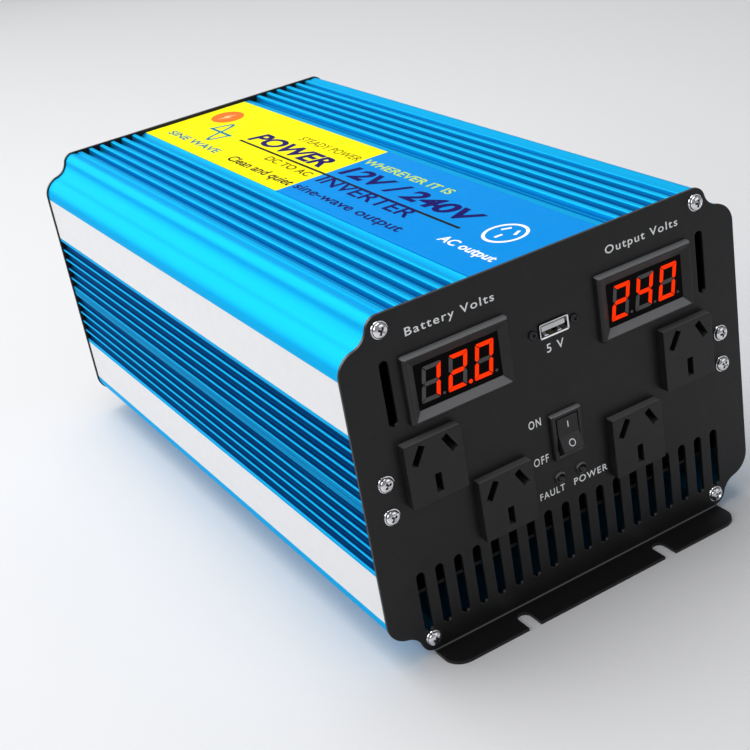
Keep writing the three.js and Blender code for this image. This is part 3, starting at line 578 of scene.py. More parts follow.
def anodised_blue():
    """Drawn lines along the extrusion, with painted shade that darkens the valleys between the ribs and the
    lip along the seam.
    """
    # The valley colour is a painted shaded copy of the crest colour.
    shaded_valley_color, crest = (0.002, 0.060, 0.20), (0.010, 0.47, 0.86)
    made = Surface("anodised_blue", crest, 0.4, 0.75)
    made.set("Specular IOR Level", 0.05)
    made.set("Specular Tint", (0.25, 0.75, 1.0, 1))
    lines = made.noise(0.35, stretch=(1, 260, 1), detail=4.0)
    clouds = made.noise(24, stretch=(1, 4, 1), detail=2.0, seed=3.0)
    axes = made.node("ShaderNodeSeparateXYZ")
    made.link(made.place, axes.inputs[0])
    across = made.combine("ABSOLUTE", axes.outputs["X"], 0)
    above = made.combine("ABSOLUTE", made.combine("SUBTRACT", axes.outputs["Z"], SEAM_Z * METRE), 0)
    # Painted shade: these masks darken the side valleys, the top valleys and the seam lip towards the valley
    # colour.
    side_depth = made.rise(across, SHELL_SIDE - 0.05, SHELL_SIDE - 0.6)
    top_depth = made.rise(above, SHELL_TOP - SEAM_Z - 0.3, TOP_VALLEY - SEAM_Z + 0.3)
    on_side = made.rise(above, TRIM_HIGH - SEAM_Z + 0.2, TRIM_HIGH - SEAM_Z - 0.2)
    on_top = made.rise(across, RIDGE_FOOT + 0.6, RIDGE_FOOT - 0.4)
    on_lip = made.rise(above, SEAM_LIP, SEAM_LIP - 0.5)
    side_valley_shade = made.combine("MULTIPLY", side_depth, on_side)
    side_valley_shade = made.combine("MAXIMUM", side_valley_shade, made.combine("MULTIPLY", on_lip, 0.55))
    top_valley_shade = made.combine("MULTIPLY", made.combine("MULTIPLY", top_depth, on_top), 0.62)
    depth = made.combine("MAXIMUM", side_valley_shade, top_valley_shade)
    tone_and_painted_shade = made.combine("SUBTRACT", made.combine("MULTIPLY", clouds, 0.12), depth)
    made.tint(made.combine("ADD", tone_and_painted_shade, 1.0), shaded_valley_color, crest, 0.06, 1.06)
    made.spread(lines, 0.34, 0.46, "Roughness")
    made.bump(lines, 0.008, 0.3)
    made.bump(made.noise(0.12, detail=2.0, seed=5.0), 0.004, 0.4)
    return made.material


def powder_coat():
    color = (0.009, 0.009, 0.0098)
    made = Surface("satin_black_powder_coat", color, 0.42)
    made.set("Specular IOR Level", 0.3)
    grain = made.noise(0.28, detail=4.0)
    made.bump(grain, 0.03, 0.45)
    made.tint(made.noise(9, detail=3.0, seed=2.0), shaded(color, 0.85), shaded(color, 1.2))
    # Painted highlight along the bend: faces that slope up between 0.45 and 0.7 are made paler.
    made.paint_light_by_slope((0.12, 0.12, 0.125), 0.45, 0.7)
    # Painted shade on faces that point straight up, such as the flange top: they are made darker.
    made.paint_light_by_slope(shaded(color, 0.8), 0.85, 0.97)
    made.spread(made.noise(1.2, detail=3.0, seed=8.0), 0.38, 0.48, "Roughness")
    return made.material


def moulded(name, color, roughness, grain=0.22, relief=0.02, shine=0.35, even=0.1, top=None, slope=0.2):
    """Moulded plastic with a fine grain. A top colour is painted light that makes the faces that turn up
    paler.
    """
    made = Surface(name, color, roughness)
    made.set("Specular IOR Level", shine)
    made.bump(made.noise(grain, detail=3.0), relief, 0.5)
    made.tint(made.noise(6, detail=2.0, seed=4.0), shaded(color, 1 - even), shaded(color, 1 + even))
    # Painted light: faces that turn up are mixed towards the top colour.
    if top:
        made.paint_light_by_slope(top, slope, slope + 0.3)
    made.spread(made.noise(2.5, detail=3.0, seed=6.0), roughness - 0.06, roughness + 0.06, "Roughness")
    return made.material


def printed(name, color, roughness=0.38):
    """Screen-printed ink or printed film: even, with a faint unevenness of the layer."""
    made = Surface(name, color, roughness)
    made.set("Specular IOR Level", 0.01)
    made.tint(made.noise(3, detail=2.0), shaded(color, 0.97), shaded(color, 1.02))
    made.spread(made.noise(8, detail=2.0, seed=2.0), roughness - 0.05, roughness + 0.05, "Roughness")
    made.bump(made.noise(0.5, detail=2.0, seed=9.0), 0.004, 0.3)
    return made.material


def metal(name, color, roughness, scratch=0.25, stretch=(1, 1, 1)):
    """Plated or machined metal with fine marks."""
    made = Surface(name, color, roughness, 1.0)
    marks = made.noise(scratch, stretch=stretch, detail=4.0)
    made.spread(marks, roughness * 0.7, roughness * 1.4, "Roughness")
    made.tint(made.noise(4, detail=2.0, seed=3.0), shaded(color, 0.9), shaded(color, 1.05))
    made.bump(marks, 0.005, 0.3)
    return made.material


def glowing(name, color, strength):
    """A lit display segment: even glow with a slightly hotter middle of the diffuser grain."""
    made = Surface(name, shaded(color, 0.15), 0.5)
    made.set("Specular IOR Level", 0.0)
    made.set("Emission Color", (*color, 1))
    grain = made.noise(0.8, detail=2.0)
    made.spread(grain, strength * 0.92, strength * 1.08, "Emission Strength")
    return made.material


def lens(name, color, shine, roughness):
    made = Surface(name, color, roughness)
    made.set("Specular IOR Level", shine)
    made.tint(made.noise(1.5, detail=2.0), shaded(color, 0.8), shaded(color, 1.3))
    return made.material


def circuit_board():
    """Black solder mask over raised copper runs."""
    made = Surface("solder_mask", (0.008, 0.010, 0.009), 0.4)
    runs = made.node("ShaderNodeTexBrick", {
        "Scale": 140,
        "Mortar Size": 0.03,
        "Color1": (0.006, 0.008, 0.007, 1),
        "Color2": (0.009, 0.012, 0.010, 1),
        "Mortar": (0.016, 0.022, 0.018, 1),
    })
    made.link(made.place, runs.inputs["Vector"])
    made.link(runs.outputs["Color"], made.shader.inputs["Base Color"])
    made.bump(runs.outputs["Fac"], 0.03, 0.5)
    return made.material


def wound_copper():
    """Enamelled wire laid side by side."""
    made = Surface("wound_copper", (0.45, 0.14, 0.05), 0.35, 0.8)
    coils = {"Scale": 280, "Distortion": 0.6}
    wires = made.node("ShaderNodeTexWave", coils, wave_type="BANDS", bands_direction="Z")
    made.link(made.place, wires.inputs["Vector"])
    made.tint(wires.outputs["Fac"], (0.16, 0.045, 0.015), (0.55, 0.19, 0.07), 0.1, 0.8)
    made.bump(wires.outputs["Fac"], 0.3, 0.8)
    return made.material


BLUE = anodised_blue()
COAT = powder_coat()
TRIM_WHITE = moulded("off_white_film", (0.80, 0.80, 0.81), 0.55, 0.4, 0.003, 0.2, 0.012)
LABEL_YELLOW = printed("label_yellow", (0.97, 0.86, 0.0))
LABEL_BLUE = printed("label_blue", (0.0, 0.25, 0.70))
INK_NAVY = printed("ink_navy", (0.008, 0.003, 0.12))
INK_BLACK = printed("ink_black", (0.012, 0.012, 0.014))
INK_TEAL = printed("ink_teal", (0.0, 0.20, 0.30))
INK_ORANGE = printed("ink_orange", (0.80, 0.17, 0.02))
INK_OLIVE = printed("ink_olive", (0.13, 0.09, 0.0))
INK_CREAM = printed("ink_cream", (0.80, 0.62, 0.30))
INK_LIME = printed("ink_lime", (0.55, 0.72, 0.05))
INK_WHITE = printed("ink_white", (0.95, 0.95, 0.95), 0.5)
CHROME = metal("bright_plating", (0.80, 0.80, 0.82), 0.07)
WIRE_CHROME = metal("plated_wire", (0.72, 0.72, 0.74), 0.2)
BRASS = metal("machined_brass", (0.74, 0.50, 0.19), 0.24, 0.3)
BARE = metal("milled_aluminium", (0.62, 0.63, 0.65), 0.35, 0.5, (1, 30, 1))
COPPER = metal("copper_strap", (0.72, 0.30, 0.14), 0.3, 0.5)
BLACK_SCREW = metal("black_oxide", (0.05, 0.05, 0.055), 0.35)
# The top colours of these black plastics are painted light: faces that turn up are made paler.
BLACK = moulded("moulded_black", (0.010, 0.010, 0.011), 0.42, top=(0.03, 0.03, 0.032))
ROCKER_BLACK = moulded("rocker_black", (0.011, 0.011, 0.012), 0.32, 0.3, 0.005, top=(0.03, 0.03, 0.032))
BLACK_SMOOTH = moulded("smooth_black", (0.011, 0.011, 0.012), 0.36, 0.3, 0.006, top=(0.19, 0.19, 0.195))
TONGUE_WHITE = moulded("white_nylon", (0.72, 0.72, 0.72), 0.4, 0.3, 0.004)
# The top colour here is painted light on the upward faces of the outlets.
OUTLET_BLACK = moulded("outlet_black", (0.009, 0.009, 0.0098), 0.42, 0.18, 0.012,
                      top=(0.11, 0.11, 0.112), slope=0.65)
RED = moulded("moulded_red", (0.42, 0.008, 0.008), 0.34, 0.3, 0.01)
GLASS = lens("display_filter", (0.0015, 0.001, 0.001), 0.04, 0.4)
DOME = lens("tinted_dome", (0.012, 0.007, 0.007), 0.5, 0.08)
LIT = glowing("lit_segment", (1.0, 0.034, 0.003), 1.05)
UNLIT = moulded("unlit_segment", (0.10, 0.092, 0.094), 0.5, 0.3, 0.005, 0.1)
BOARD_BLACK = circuit_board()
WINDING = wound_copper()
FERRITE = moulded("ferrite", (0.02, 0.02, 0.023), 0.65, 0.5, 0.05)
SLEEVE = moulded("shrink_sleeve", (0.012, 0.02, 0.12), 0.3, 0.8, 0.01)

# ------------------------------------------------------------------ shell, trim and label


def make_shells():
    section = shell_section()
    upper = extrude_y(section, SHELL_LOW.y, SHELL_HIGH.y)
    lower_section = [(x, 2 * SEAM_Z - z) for x, z in reversed(section)]
    lower = extrude_y(lower_section, SHELL_LOW.y, SHELL_HIGH.y)
    lip = [
        *[(INNER_SIDE - 2, SEAM_Z - 3), (INNER_SIDE - 2, SEAM_Z + 2.6)],
        *[(INNER_SIDE - 0.3, SEAM_Z + 2.6), (INNER_SIDE - 0.3, SEAM_Z - 0.3)],
        *[(INNER_SIDE + 0.3, SEAM_Z - 0.3), (INNER_SIDE + 0.3, SEAM_Z - 3)],
    ]
    lips = [extrude_y(outline, SHELL_LOW.y, SHELL_HIGH.y) for outline in (lip, mirrored(lip))]
    piece("upper_shell_skin", upper, BLUE, replaces=["upper_shell"], sharp=40)
    piece("lower_shell_skin", joined([lower, *lips]), BLUE, replaces=["lower_shell"], sharp=40)


def make_trims():
    for side, sign in SIDES:
        for half in ("upper", "lower"):
            low, high = box_mm(f"{half}_trim_{side}")
            outer = max(abs(low.x), abs(high.x))
            edge = 0.15
            outline = [
                (TRIM_FLOOR + 0.02, low.z, 0),
                (outer, low.z, edge),
                (outer, high.z, edge),
                (TRIM_FLOOR + 0.02, high.z, 0),
            ]
            points = [(sign * x, z) for x, z in filleted(outline)]
            strip = extrude_y(points, low.y + 0.4, high.y - 0.4)
            node = f"{half}_trim_{side}"
            piece(f"trim_strip_{half}_{side}", strip, TRIM_WHITE, replaces=[node])


LABEL_Z = PLATFORM_Z + 0.22
LABEL_SPLIT_Y = -3.6
INK_LOW = LABEL_Z + 0.01
INK_HIGH = LABEL_Z + 0.04


def on_label(mesh, x, y):
    """Lays flat lettering on the label: it reads towards the front, with its top to the right."""
    basis = Matrix(((0, 0, 1, x), (-1, 0, 0, y), (0, -1, 0, LABEL_Z + 0.02), (0, 0, 0, 1)))
    mesh.transform(basis)
    return mesh


def label_text(name, text, start, end, low, cap, ink, slant, weight):
    """Label lettering between two places along the length, with its foot at x = low."""
    mesh = lettering(text, start - end, cap, slant, weight)
    return piece(name, on_label(mesh, low, (start + end) / 2), ink)


def make_label():
    low, high = box_mm("top_label")
    parts = (
        ("yellow", LABEL_SPLIT_Y, high.y, LABEL_YELLOW),
        ("blue", low.y, LABEL_SPLIT_Y, LABEL_BLUE),
    )
    for name, y0, y1, film in parts:
        left, right = low.x - 0.2, high.x + 0.2
        outline = [(left, y0), (right, y0), (right, y1), (left, y1)]
        mesh = extrude_z(outline, PLATFORM_Z + 0.02, LABEL_Z)
        replaced = ["top_label"] if name == "yellow" else []
        piece(f"label_film_{name}", mesh, film, replaces=replaced)
    words = (
        ("word_power", "POWER", 86, 7, -2.8, 10.2, INK_NAVY, 0.35, 0.035),
        ("word_voltages", "12V / 240V", -8, -114, -1.2, 9.8, INK_NAVY, 0.3, 0.035),
        ("word_inverter", "INVERTER", -8, -88, -13.8, 7.8, INK_NAVY, 0.1, 0.015),
        ("words_wave_yellow", "Clean and quiet", 65, -2, -25.4, 5.4, INK_BLACK, 0, 0.02),
        ("words_wave_blue", "sine-wave output", -6, -99, -24.8, 5.4, INK_NAVY, 0, 0.015),
        ("words_top_yellow", "STEADY POWER", 58, -1, 12.6, 4.8, INK_OLIVE, 0, 0),
        ("words_top_blue", "WHEREVER IT IS", -6, -80, 13.4, 4.8, INK_LIME, 0, 0.012),
        ("words_sine", "SINE WAVE", 141, 80, -24.8, 4.6, INK_TEAL, 0, 0.02),
        ("words_kind", "DC TO AC", 46, 1, -13.4, 4.4, INK_OLIVE, 0, 0.02),
        ("words_output", "AC output", -120, -158, -18.8, 4.8, INK_WHITE, 0, 0.02),
    )
    for name, *details in words:
        label_text(f"label_{name}", *details)
    line = extrude_z([(-6.9, 88), (-5.4, 88), (-5.4, -118), (-6.9, -118)], INK_LOW, INK_HIGH)
    piece("label_line", line, INK_BLACK)
    turns = [math.tau * i / 48 for i in range(48)]
    oval = [(9.2 + 8.8 * math.sin(a), 135 - 11 * math.cos(a)) for a in turns]
    piece("label_oval", extrude_z(oval, INK_LOW, INK_HIGH), INK_ORANGE)
    bolt = [(14.6, 133.5), (8.4, 138.2), (8.8, 135.4), (3.8, 136.8), (9.8, 131.8), (9.5, 134.6)]
    piece("label_bolt", extrude_z(bolt, LABEL_Z + 0.02, LABEL_Z + 0.06), INK_CREAM)
    make_sine_mark()
    make_outlet_mark()


def ribbon(points, width, top=INK_HIGH):
    """A flat stroke of even width along points in X and Y."""
    left, right = [], []
    for i, (x, y) in enumerate(points):
        x0, y0 = points[max(i - 1, 0)]
        x1, y1 = points[min(i + 1, len(points) - 1)]
        normal = Vector((y0 - y1, x1 - x0)).normalized() * width / 2
        left.append((x + normal.x, y + normal.y))
        right.append((x - normal.x, y - normal.y))
    return extrude_z([*left, *reversed(right)], INK_LOW, top)


def make_sine_mark():
    """One period of a sine wave across a base line."""
    wave = []
    for i in range(41):
        t = i / 40
        wave.append((-6 + 10.2 * math.sin(math.tau * t), 123 - 22 * t))
    axis = [(-6, 125), (-6, 99)]
    strokes = [ribbon(wave, 1.9), ribbon(axis, 1.7, INK_HIGH - 0.005)]
    piece("label_sine_mark", joined(strokes), INK_TEAL)


def make_outlet_mark():
    """A ring around three outlet slots, in white, near the front of the label."""
    x, y, stroke = 2.2, -138.5, 1.5
    ring = [(x + 9 * math.sin(math.tau * i / 64), y + 9 * math.cos(math.tau * i / 64)) for i in range(65)]
    strokes = [ribbon(ring, stroke)]
    for side in (-1, 1):
        strokes.append(ribbon([(x + 1.2, y + side * 4.6), (x + 5.0, y + side * 2.6)], stroke))
    strokes.append(ribbon([(x - 5.4, y), (x - 1.6, y)], stroke))
    piece("label_outlet_mark", joined(strokes), INK_WHITE)


# ------------------------------------------------------------------ end panels


def flange_mesh():
    """Bend and slotted flange at the foot of a panel whose face is at y = 0."""
    bend = 2.4
    inside = 0.02
    top = 8
    section = [
        (-FLANGE_REACH, 0),
        *arc(SHEET - bend, bend, bend - inside, 270, 360, 10),
        (SHEET - inside, top),
        (inside, top),
        *arc(SHEET - bend, bend, bend - SHEET + inside, 360, 270, 8),
        (-FLANGE_REACH, SHEET),
    ]
    corner = 8
    notch_r, notch_end, notch_x = 3, 3.9, 36
    edge = -FLANGE_REACH
    plan = [(FLANGE_HALF, SHEET + 1), (-FLANGE_HALF, SHEET + 1)]
    plan.extend(arc(-FLANGE_HALF + corner, edge + corner, corner, 180, 270, 8))
    for x in (-notch_x, notch_x):
        plan.append((x - notch_r, edge))
        plan.extend(arc(x, -notch_end - notch_r, notch_r, 180, 0, 12))
        plan.append((x + notch_r, edge))
    plan.extend(arc(FLANGE_HALF - corner, edge + corner, corner, 270, 360, 8))
    mesh = boolean(extrude_x(section, -FLANGE_HALF, FLANGE_HALF), extrude_z(plan, -1, top + 2), "INTERSECT")
    return bevelled(mesh, 0.22, 2, 40)


def screw_holes():
    return [circle(sign * x, z, 2.0, 24) for x, z in SCREWS.values() for _, sign in SIDES]


def front_openings():
    openings = screw_holes()
    for i in range(VENT_COUNT):
        x = (i - (VENT_COUNT - 1) / 2) * VENT_PITCH
        openings.append(upright_slot(x, VENT_LOW, VENT_HIGH, VENT_RADIUS))
    for _, sign in SIDES:
        openings.append(upright_slot(sign * SIDE_VENT_X, SIDE_VENT_LOW, SIDE_VENT_HIGH, VENT_RADIUS))
        openings.append(circle(sign * LED_X, LED_Z, 2.5, 32))
        openings.append(circle(sign * PORT_SCREW_X, PORT_Z, 1.3, 16))
    for x, z in METERS.values():
        openings.append(rounded_rectangle(x, z, 45, 26, 0.3))
    for _, x, z in outlet_places():
        openings.append(rounded_rectangle(x, z, 23.6, 24.6, 0.3))
    openings.append(rounded_rectangle(0, PORT_Z, 14, 6.4, 0.3))
    openings.append(rounded_rectangle(0, SWITCH_Z, 13.6, 19.5, 0.3))
    return openings


def rear_openings():
    openings = screw_holes()
    for _, sign in SIDES:
        openings.append(circle(sign * FAN_X, FAN_Z, FAN_BORE, 72))
        openings.append(circle(sign * TERMINAL_X, TERMINAL_Z, 7, 32))
    openings.append(circle(0, TERMINAL_Z, 2.8, 24))
    return openings


def make_panels():
    for end, openings, place in (("front", front_openings(), to_front), ("rear", rear_openings(), to_rear)):
        plate = sheet([panel_outline(), *openings], SHEET, 0.22)
        mesh = place(joined([plate, flange_mesh()]))
        piece(f"{end}_sheet", mesh, COAT, replaces=[f"{end}_panel"], sharp=40)


# ------------------------------------------------------------------ screws


def screw_mesh(head_r, head_h, washer=True):
    """Pan head with a cross recess, standing on y = 0 and facing -Y."""
    rim = 0.18 * head_r
    profile = [(0, -head_h)]
    for k in range(1, 9):
        a = math.radians(90 * k / 8)
        profile.append((head_r * math.sin(a) ** 0.9, -rim - (head_h - rim) * math.cos(a) ** 0.8))
    profile.append((head_r, 0))
    profile.append((0.46 * head_r, 0))
    profile.append((0.46 * head_r, 6))
    profile.append((0, 6.6))
    head = turned(profile, 48)
    depth = 0.62 * head_h
    for turn in (0, 90):
        wide, narrow = 0.6 * head_r, 0.32 * head_r
        half = 0.15 * head_r
        top, foot = -head_h - 0.5, -head_h + depth
        rings = []
        for y, reach in ((top, wide), (foot, narrow)):
            rings.append([(-reach, y, -half), (reach, y, -half), (reach, y, half), (-reach, y, half)])
        head = boolean(head, turned_by(loft(rings), turn, "Y"))
    if not washer:
        return head
    ring = turned([(0.5 * head_r, 0), (1.12 * head_r, 0), (1.14 * head_r, -0.15),
                   (1.1 * head_r, -0.42), (0.5 * head_r, -0.45)], 48)
    return joined([head, ring])


def paint_recess_shade(item, x, z, face, radius, height):
    """Paints shade in a screw's cross recess: its walls get the black oxide material."""
    item.data.materials.append(BLACK_SCREW)
    for polygon in item.data.polygons:
        centre = polygon.center / METRE
        out = abs(centre.y - face)
        if math.hypot(centre.x - x, centre.z - z) < radius and 0.3 < out < height:
            polygon.material_index = 1


SCREW_RADIUS = 3.2
SCREW_HEIGHT = 2.35


def make_screws():
    master = screw_mesh(SCREW_RADIUS, SCREW_HEIGHT)
    for end in ("front", "rear"):
        for height, (x, z) in SCREWS.items():
            for side, sign in SIDES:
                mesh = turned_by(master.copy(), random.uniform(0, 90), "Y")
                moved(mesh, sign * x, -0.02, z)
                mesh = to_front(mesh) if end == "front" else to_rear(mesh)
                node = f"{end}_screw_{height}_{side}"
                replaced = [node] if node in frame["nodes"] else []
                name = f"screw_{end}_{height}_{side}"
                item = piece(name, mesh, CHROME, replaces=replaced, sharp=30)
                face = FRONT_FACE if end == "front" else REAR_FACE
                # Painted shade in the cross recess.
                paint_recess_shade(item, sign * x, z, face, 0.58 * SCREW_RADIUS, 0.78 * SCREW_HEIGHT)


# ------------------------------------------------------------------ front fittings

DIGIT_PITCH = 12.1
DIGIT_HALF_WIDTH = 4.2
DIGIT_HALF_HEIGHT = 7.3
DIGIT_SEGMENTS = {"0": "abcdef", "1": "bc", "2": "abdeg", "4": "bcfg"}


def rings_of(x, z, steps):
    """Rounded rectangles for a loft from (distance out, width, height, corner radius) rows."""
    rings = []
    for out, width, height, radius in steps:
        outline = rounded_rectangle(x, z, width, height, radius)
        rings.append([(px, FRONT_FACE - out, pz) for px, pz in outline])
    return rings


def make_meter(name, x, z, digits, point_after):
    body = loft(rings_of(x, z, [
        (-12, 44, 25, 0.6), (0, 44, 25, 0.6), (0.02, 48, 29, 0.9), (1.5, 48, 29, 0.9),
        (1.9, 47.8, 28.8, 0.9), (2.75, 46.6, 27.6, 0.8), (2.88, 46.2, 27.2, 0.8),
        (2.88, 45.0, 26.0, 0.6), (2.78, 44.6, 25.6, 0.6), (1.1, 38.6, 19.2, 0.4),
        (0.2, 38.4, 19.0, 0.4),
    ]))
    piece(f"{name}_frame", body, BLACK_SMOOTH, replaces=[f"{name}_bezel"], sharp=25)
    window = loft(rings_of(x, z, [(0.3, 38.6, 19.2, 0.4), (0.85, 38.6, 19.2, 0.4), (0.95, 38.3, 18.9, 0.4)]))
    piece(f"{name}_window", window, GLASS, replaces=[f"{name}_display"])
    lit, unlit = [], []
    for i, digit in enumerate(digits):
        left = x - 0.3 + (i - 1) * DIGIT_PITCH
        for shape, on in digit_segments(digit):
            outline = [(left + px + 0.165 * pz, z + 0.2 + pz) for px, pz in shape]
            mesh = extrude_y(outline, FRONT_FACE - 1.05, FRONT_FACE - 0.9)
            (lit if on else unlit).append(mesh)
        dot = circle(left + 4.9, z - 6.3, 0.9 if i == point_after else 0.6, 20)
        mesh = extrude_y(dot, FRONT_FACE - 1.05, FRONT_FACE - 0.9)
        (lit if i == point_after else unlit).append(mesh)
    piece(f"{name}_lit_segments", joined(lit), LIT)
    piece(f"{name}_unlit_segments", joined(unlit), UNLIT)


def digit_segments(digit):
    """Outlines of the seven mitred segments about the digit's centre, each with whether it is lit."""
    w, h, thick, gap = DIGIT_HALF_WIDTH, DIGIT_HALF_HEIGHT, 1.75, 0.2
    half = thick / 2
    top = [(-w + gap + 0.3, h), (w - gap - 0.3, h), (w - gap, h - 0.25), (w - thick - gap, h - thick),
           (-w + thick + gap, h - thick), (-w + gap, h - 0.25)]
    upper_right = [(w, h - gap - 0.3), (w, half + gap), (w - half, gap), (w - thick, half + gap),
                   (w - thick, h - thick - gap)]
    middle = [(-w + half + gap, 0), (-w + thick + gap, half), (w - thick - gap, half), (w - half - gap, 0),
              (w - thick - gap, -half), (-w + thick + gap, -half)]
    upper_left = [(-x, z) for x, z in upper_right]
    shapes = {"a": top, "b": upper_right, "f": upper_left, "g": middle}
    for below, above in (("d", "a"), ("c", "b"), ("e", "f")):
        shapes[below] = [(x, -z) for x, z in shapes[above]]
    return [(shape, name in DIGIT_SEGMENTS[digit]) for name, shape in shapes.items()]


def make_port():
    z = PORT_Z
    shell = loft(rings_of(0, z, [
        (-12, 12.8, 5.2, 0.5), (-12, 13.6, 6.0, 0.6), (0.5, 13.6, 6.0, 0.6), (0.75, 14.1, 6.5, 0.8),
        (0.95, 14.0, 6.4, 0.8), (0.98, 13.4, 5.8, 0.6), (0.8, 12.8, 5.2, 0.5), (-12, 12.8, 5.2, 0.5),
    ]), False, False)
    piece("port_liner", shell, CHROME, replaces=["port_shell"], sharp=25)
    back = extrude_y(rounded_rectangle(0, z, 12.8, 5.2, 0.4), FRONT_FACE + 8.5, FRONT_FACE + 10)
    tongue = extrude_y(rounded_rectangle(0, z + 0.75, 11.2, 2.1, 0.2), FRONT_FACE - 0.2, FRONT_FACE + 9)
    tongue = bevelled(tongue, 0.12)
    piece("port_tongue_body", joined([back, tongue]), TONGUE_WHITE, replaces=["port_tongue"])
    contacts = []
    for x in (-3.5, -1.1, 1.1, 3.5):
        contacts.append(extrude_y([(x - 0.5, z - 0.32), (x + 0.5, z - 0.32), (x + 0.5, z - 0.15),
                                   (x - 0.5, z - 0.15)], FRONT_FACE + 0.4, FRONT_FACE + 8))
    piece("port_contacts", joined(contacts), BRASS)
    springs = []
    for x in (-3.2, 3.2):
        for low, sign in ((z - 2.42, 1), (z + 2.42, -1)):
            arch = [(FRONT_FACE + 0.4 + 6 * t, low + sign * 0.75 * math.sin(math.pi * t)) for t in
                    (k / 12 for k in range(13))]
            outline = [*arch, *[(y, v - sign * 0.2) for y, v in reversed(arch)]]
            springs.append(moved(extrude_x(outline, -0.9, 0.9), x))
    piece("port_springs", joined(springs), CHROME)
    master = screw_mesh(1.9, 1.3, False)
    for side, sign in SIDES:
        mesh = moved(turned_by(master.copy(), 20 + 30 * sign, "Y"), sign * PORT_SCREW_X, 0, z)
        piece(f"port_screw_{side}", to_front(mesh), BLACK_SCREW, sharp=30)


def make_switch():
    frame_mesh = loft(rings_of(0, SWITCH_Z, [
        (-13, 13, 18.9, 0.5), (0, 13, 18.9, 0.5), (0.02, 15.2, 21, 0.9), (1.3, 15.2, 21, 0.9),
        (1.9, 14.6, 20.4, 0.9), (2.1, 13.9, 19.7, 0.8), (2.1, 11.6, 17.6, 0.4),
        (1.9, 11.1, 17.2, 0.3), (-8, 10.9, 17.1, 0.3),
    ]))
    piece("switch_surround", frame_mesh, BLACK_SMOOTH, replaces=["switch_frame"], sharp=25)
    pivot = frame_joint("rocker_tilt")
    half, centre, tilt, depth = 7.6, 2.2, 12, 6.2
    pivot_out = FRONT_FACE - pivot.y
    rise = half * math.tan(math.radians(tilt))
    outs = filleted([
        (-(centre + rise), -half, 0.7), (-centre, 0, 2.5), (-(centre + rise), half, 0.7),
        (-pivot_out, half, 0), (depth - pivot_out, 2.5, 0), (depth - pivot_out, -2.5, 0),
        (-pivot_out, -half, 0),
    ], 6)
    rocker = bevelled(extrude_x(outs, -5.1, 5.1), 0.3, 3, 50)
    marks = []
    for z in (4.1, -4.1):
        out = centre + abs(z) * math.tan(math.radians(tilt)) + 0.03
        if z > 0:
            mark = extrude_y([(-0.2, -1.4), (0.2, -1.4), (0.2, 1.4), (-0.2, 1.4)], -0.03, 0.03)
        else:
            mark = torus(1.4, 0.19, 40, 8)
            mark.transform(Matrix.Scale(0.15, 4, (0, 1, 0)))
        lean = tilt if z > 0 else -tilt
        turned_by(mark, lean, "X")
        marks.append(moved(mark, 0, -out, z))
    parts = (
        (rocker, "rocker_cap", ROCKER_BLACK, ["switch_rocker"]),
        (joined(marks), "rocker_marks", INK_WHITE, []),
    )
    for mesh, name, surface, replaced in parts:
        moved(mesh, y=pivot_out)
        turned_by(mesh, -tilt, "X")
        moved(mesh, y=-pivot_out, z=SWITCH_Z)
        piece(name, to_front(mesh), surface, body="rocker", replaces=replaced)


def frame_joint(name):
    """A joint's place, in millimetres."""
    found = [joint for joint in frame["joints"] if joint["name"] == name]
    return Vector(found[0]["pos_m"]) / METRE


def make_lights():
    for name, x in (("fault_light", -LED_X), ("power_light", LED_X)):
        ring = turned([(1.7, 0.4), (1.7, -0.6), (1.9, -0.9), (2.3, -0.9), (2.6, -0.65),
                       (2.75, 0.0), (2.45, 0.02), (2.45, 4), (1.7, 4), (1.7, 0.4)], 48)
        dome_profile = [(0, -1.9)]
        for k in range(1, 9):
            a = math.radians(90 * k / 8)
            dome_profile.append((1.5 * math.sin(a), -0.4 - 1.5 * math.cos(a)))
        dome_profile.extend([(1.6, 0.5), (1.6, 5), (0, 5)])
        place = {"x": x, "y": 0, "z": LED_Z}
        holder = to_front(moved(ring, **place))
        dome = to_front(moved(turned(dome_profile, 40), **place))
        piece(f"{name}_dome", dome, DOME, replaces=[name])
        piece(f"{name}_holder", holder, BLACK_SMOOTH)


def outlet_places():
    names = ("outlet_outer_left", "outlet_inner_left", "outlet_inner_right", "outlet_outer_right")
    for name in names:
        middle = centre_mm(name)
        yield name, middle.x, middle.z


def make_outlets():
    """Three-pin outlets: two slanted slots above an upright one, with contacts inside."""
    pins = ((-7.2, 8.0, 30), (7.2, 8.0, -30), (0, -6.7, 0))
    for name, x, z in outlet_places():
        body = loft(rings_of(0, 0, [
            (-18, 23, 24, 0.6), (0, 23, 24, 0.6), (0.02, 26, 27.5, 0.7), (3.75, 26, 27.5, 0.7),
            (4.15, 25.8, 27.3, 0.7), (4.3, 25.3, 26.8, 0.6),
        ]))
        contacts = []
        for dx, dz, slant in pins:
            cutter = extrude_y(rounded_rectangle(0, 0, 3.0, 8.6, 0.25, 2), FRONT_FACE - 6, FRONT_FACE + 7)
            body = boolean(body, moved(turned_by(cutter, slant, "Y"), dx, 0, dz))
            for offset in (-0.75, 0.75):
                section = rounded_rectangle(offset, 0, 0.4, 6, 0.15, 1)
                leaf = extrude_y(section, FRONT_FACE + 3, FRONT_FACE + 6.9)
                contacts.append(moved(turned_by(leaf, slant, "Y"), x + dx, 0, z + dz))
        body = bevelled(body, 0.12, 2, 50)
        moved(body, x, 0, z)
        piece(f"{name}_block", body, OUTLET_BLACK, replaces=[name], sharp=30)
        piece(f"{name}_contacts", joined(contacts), BRASS)


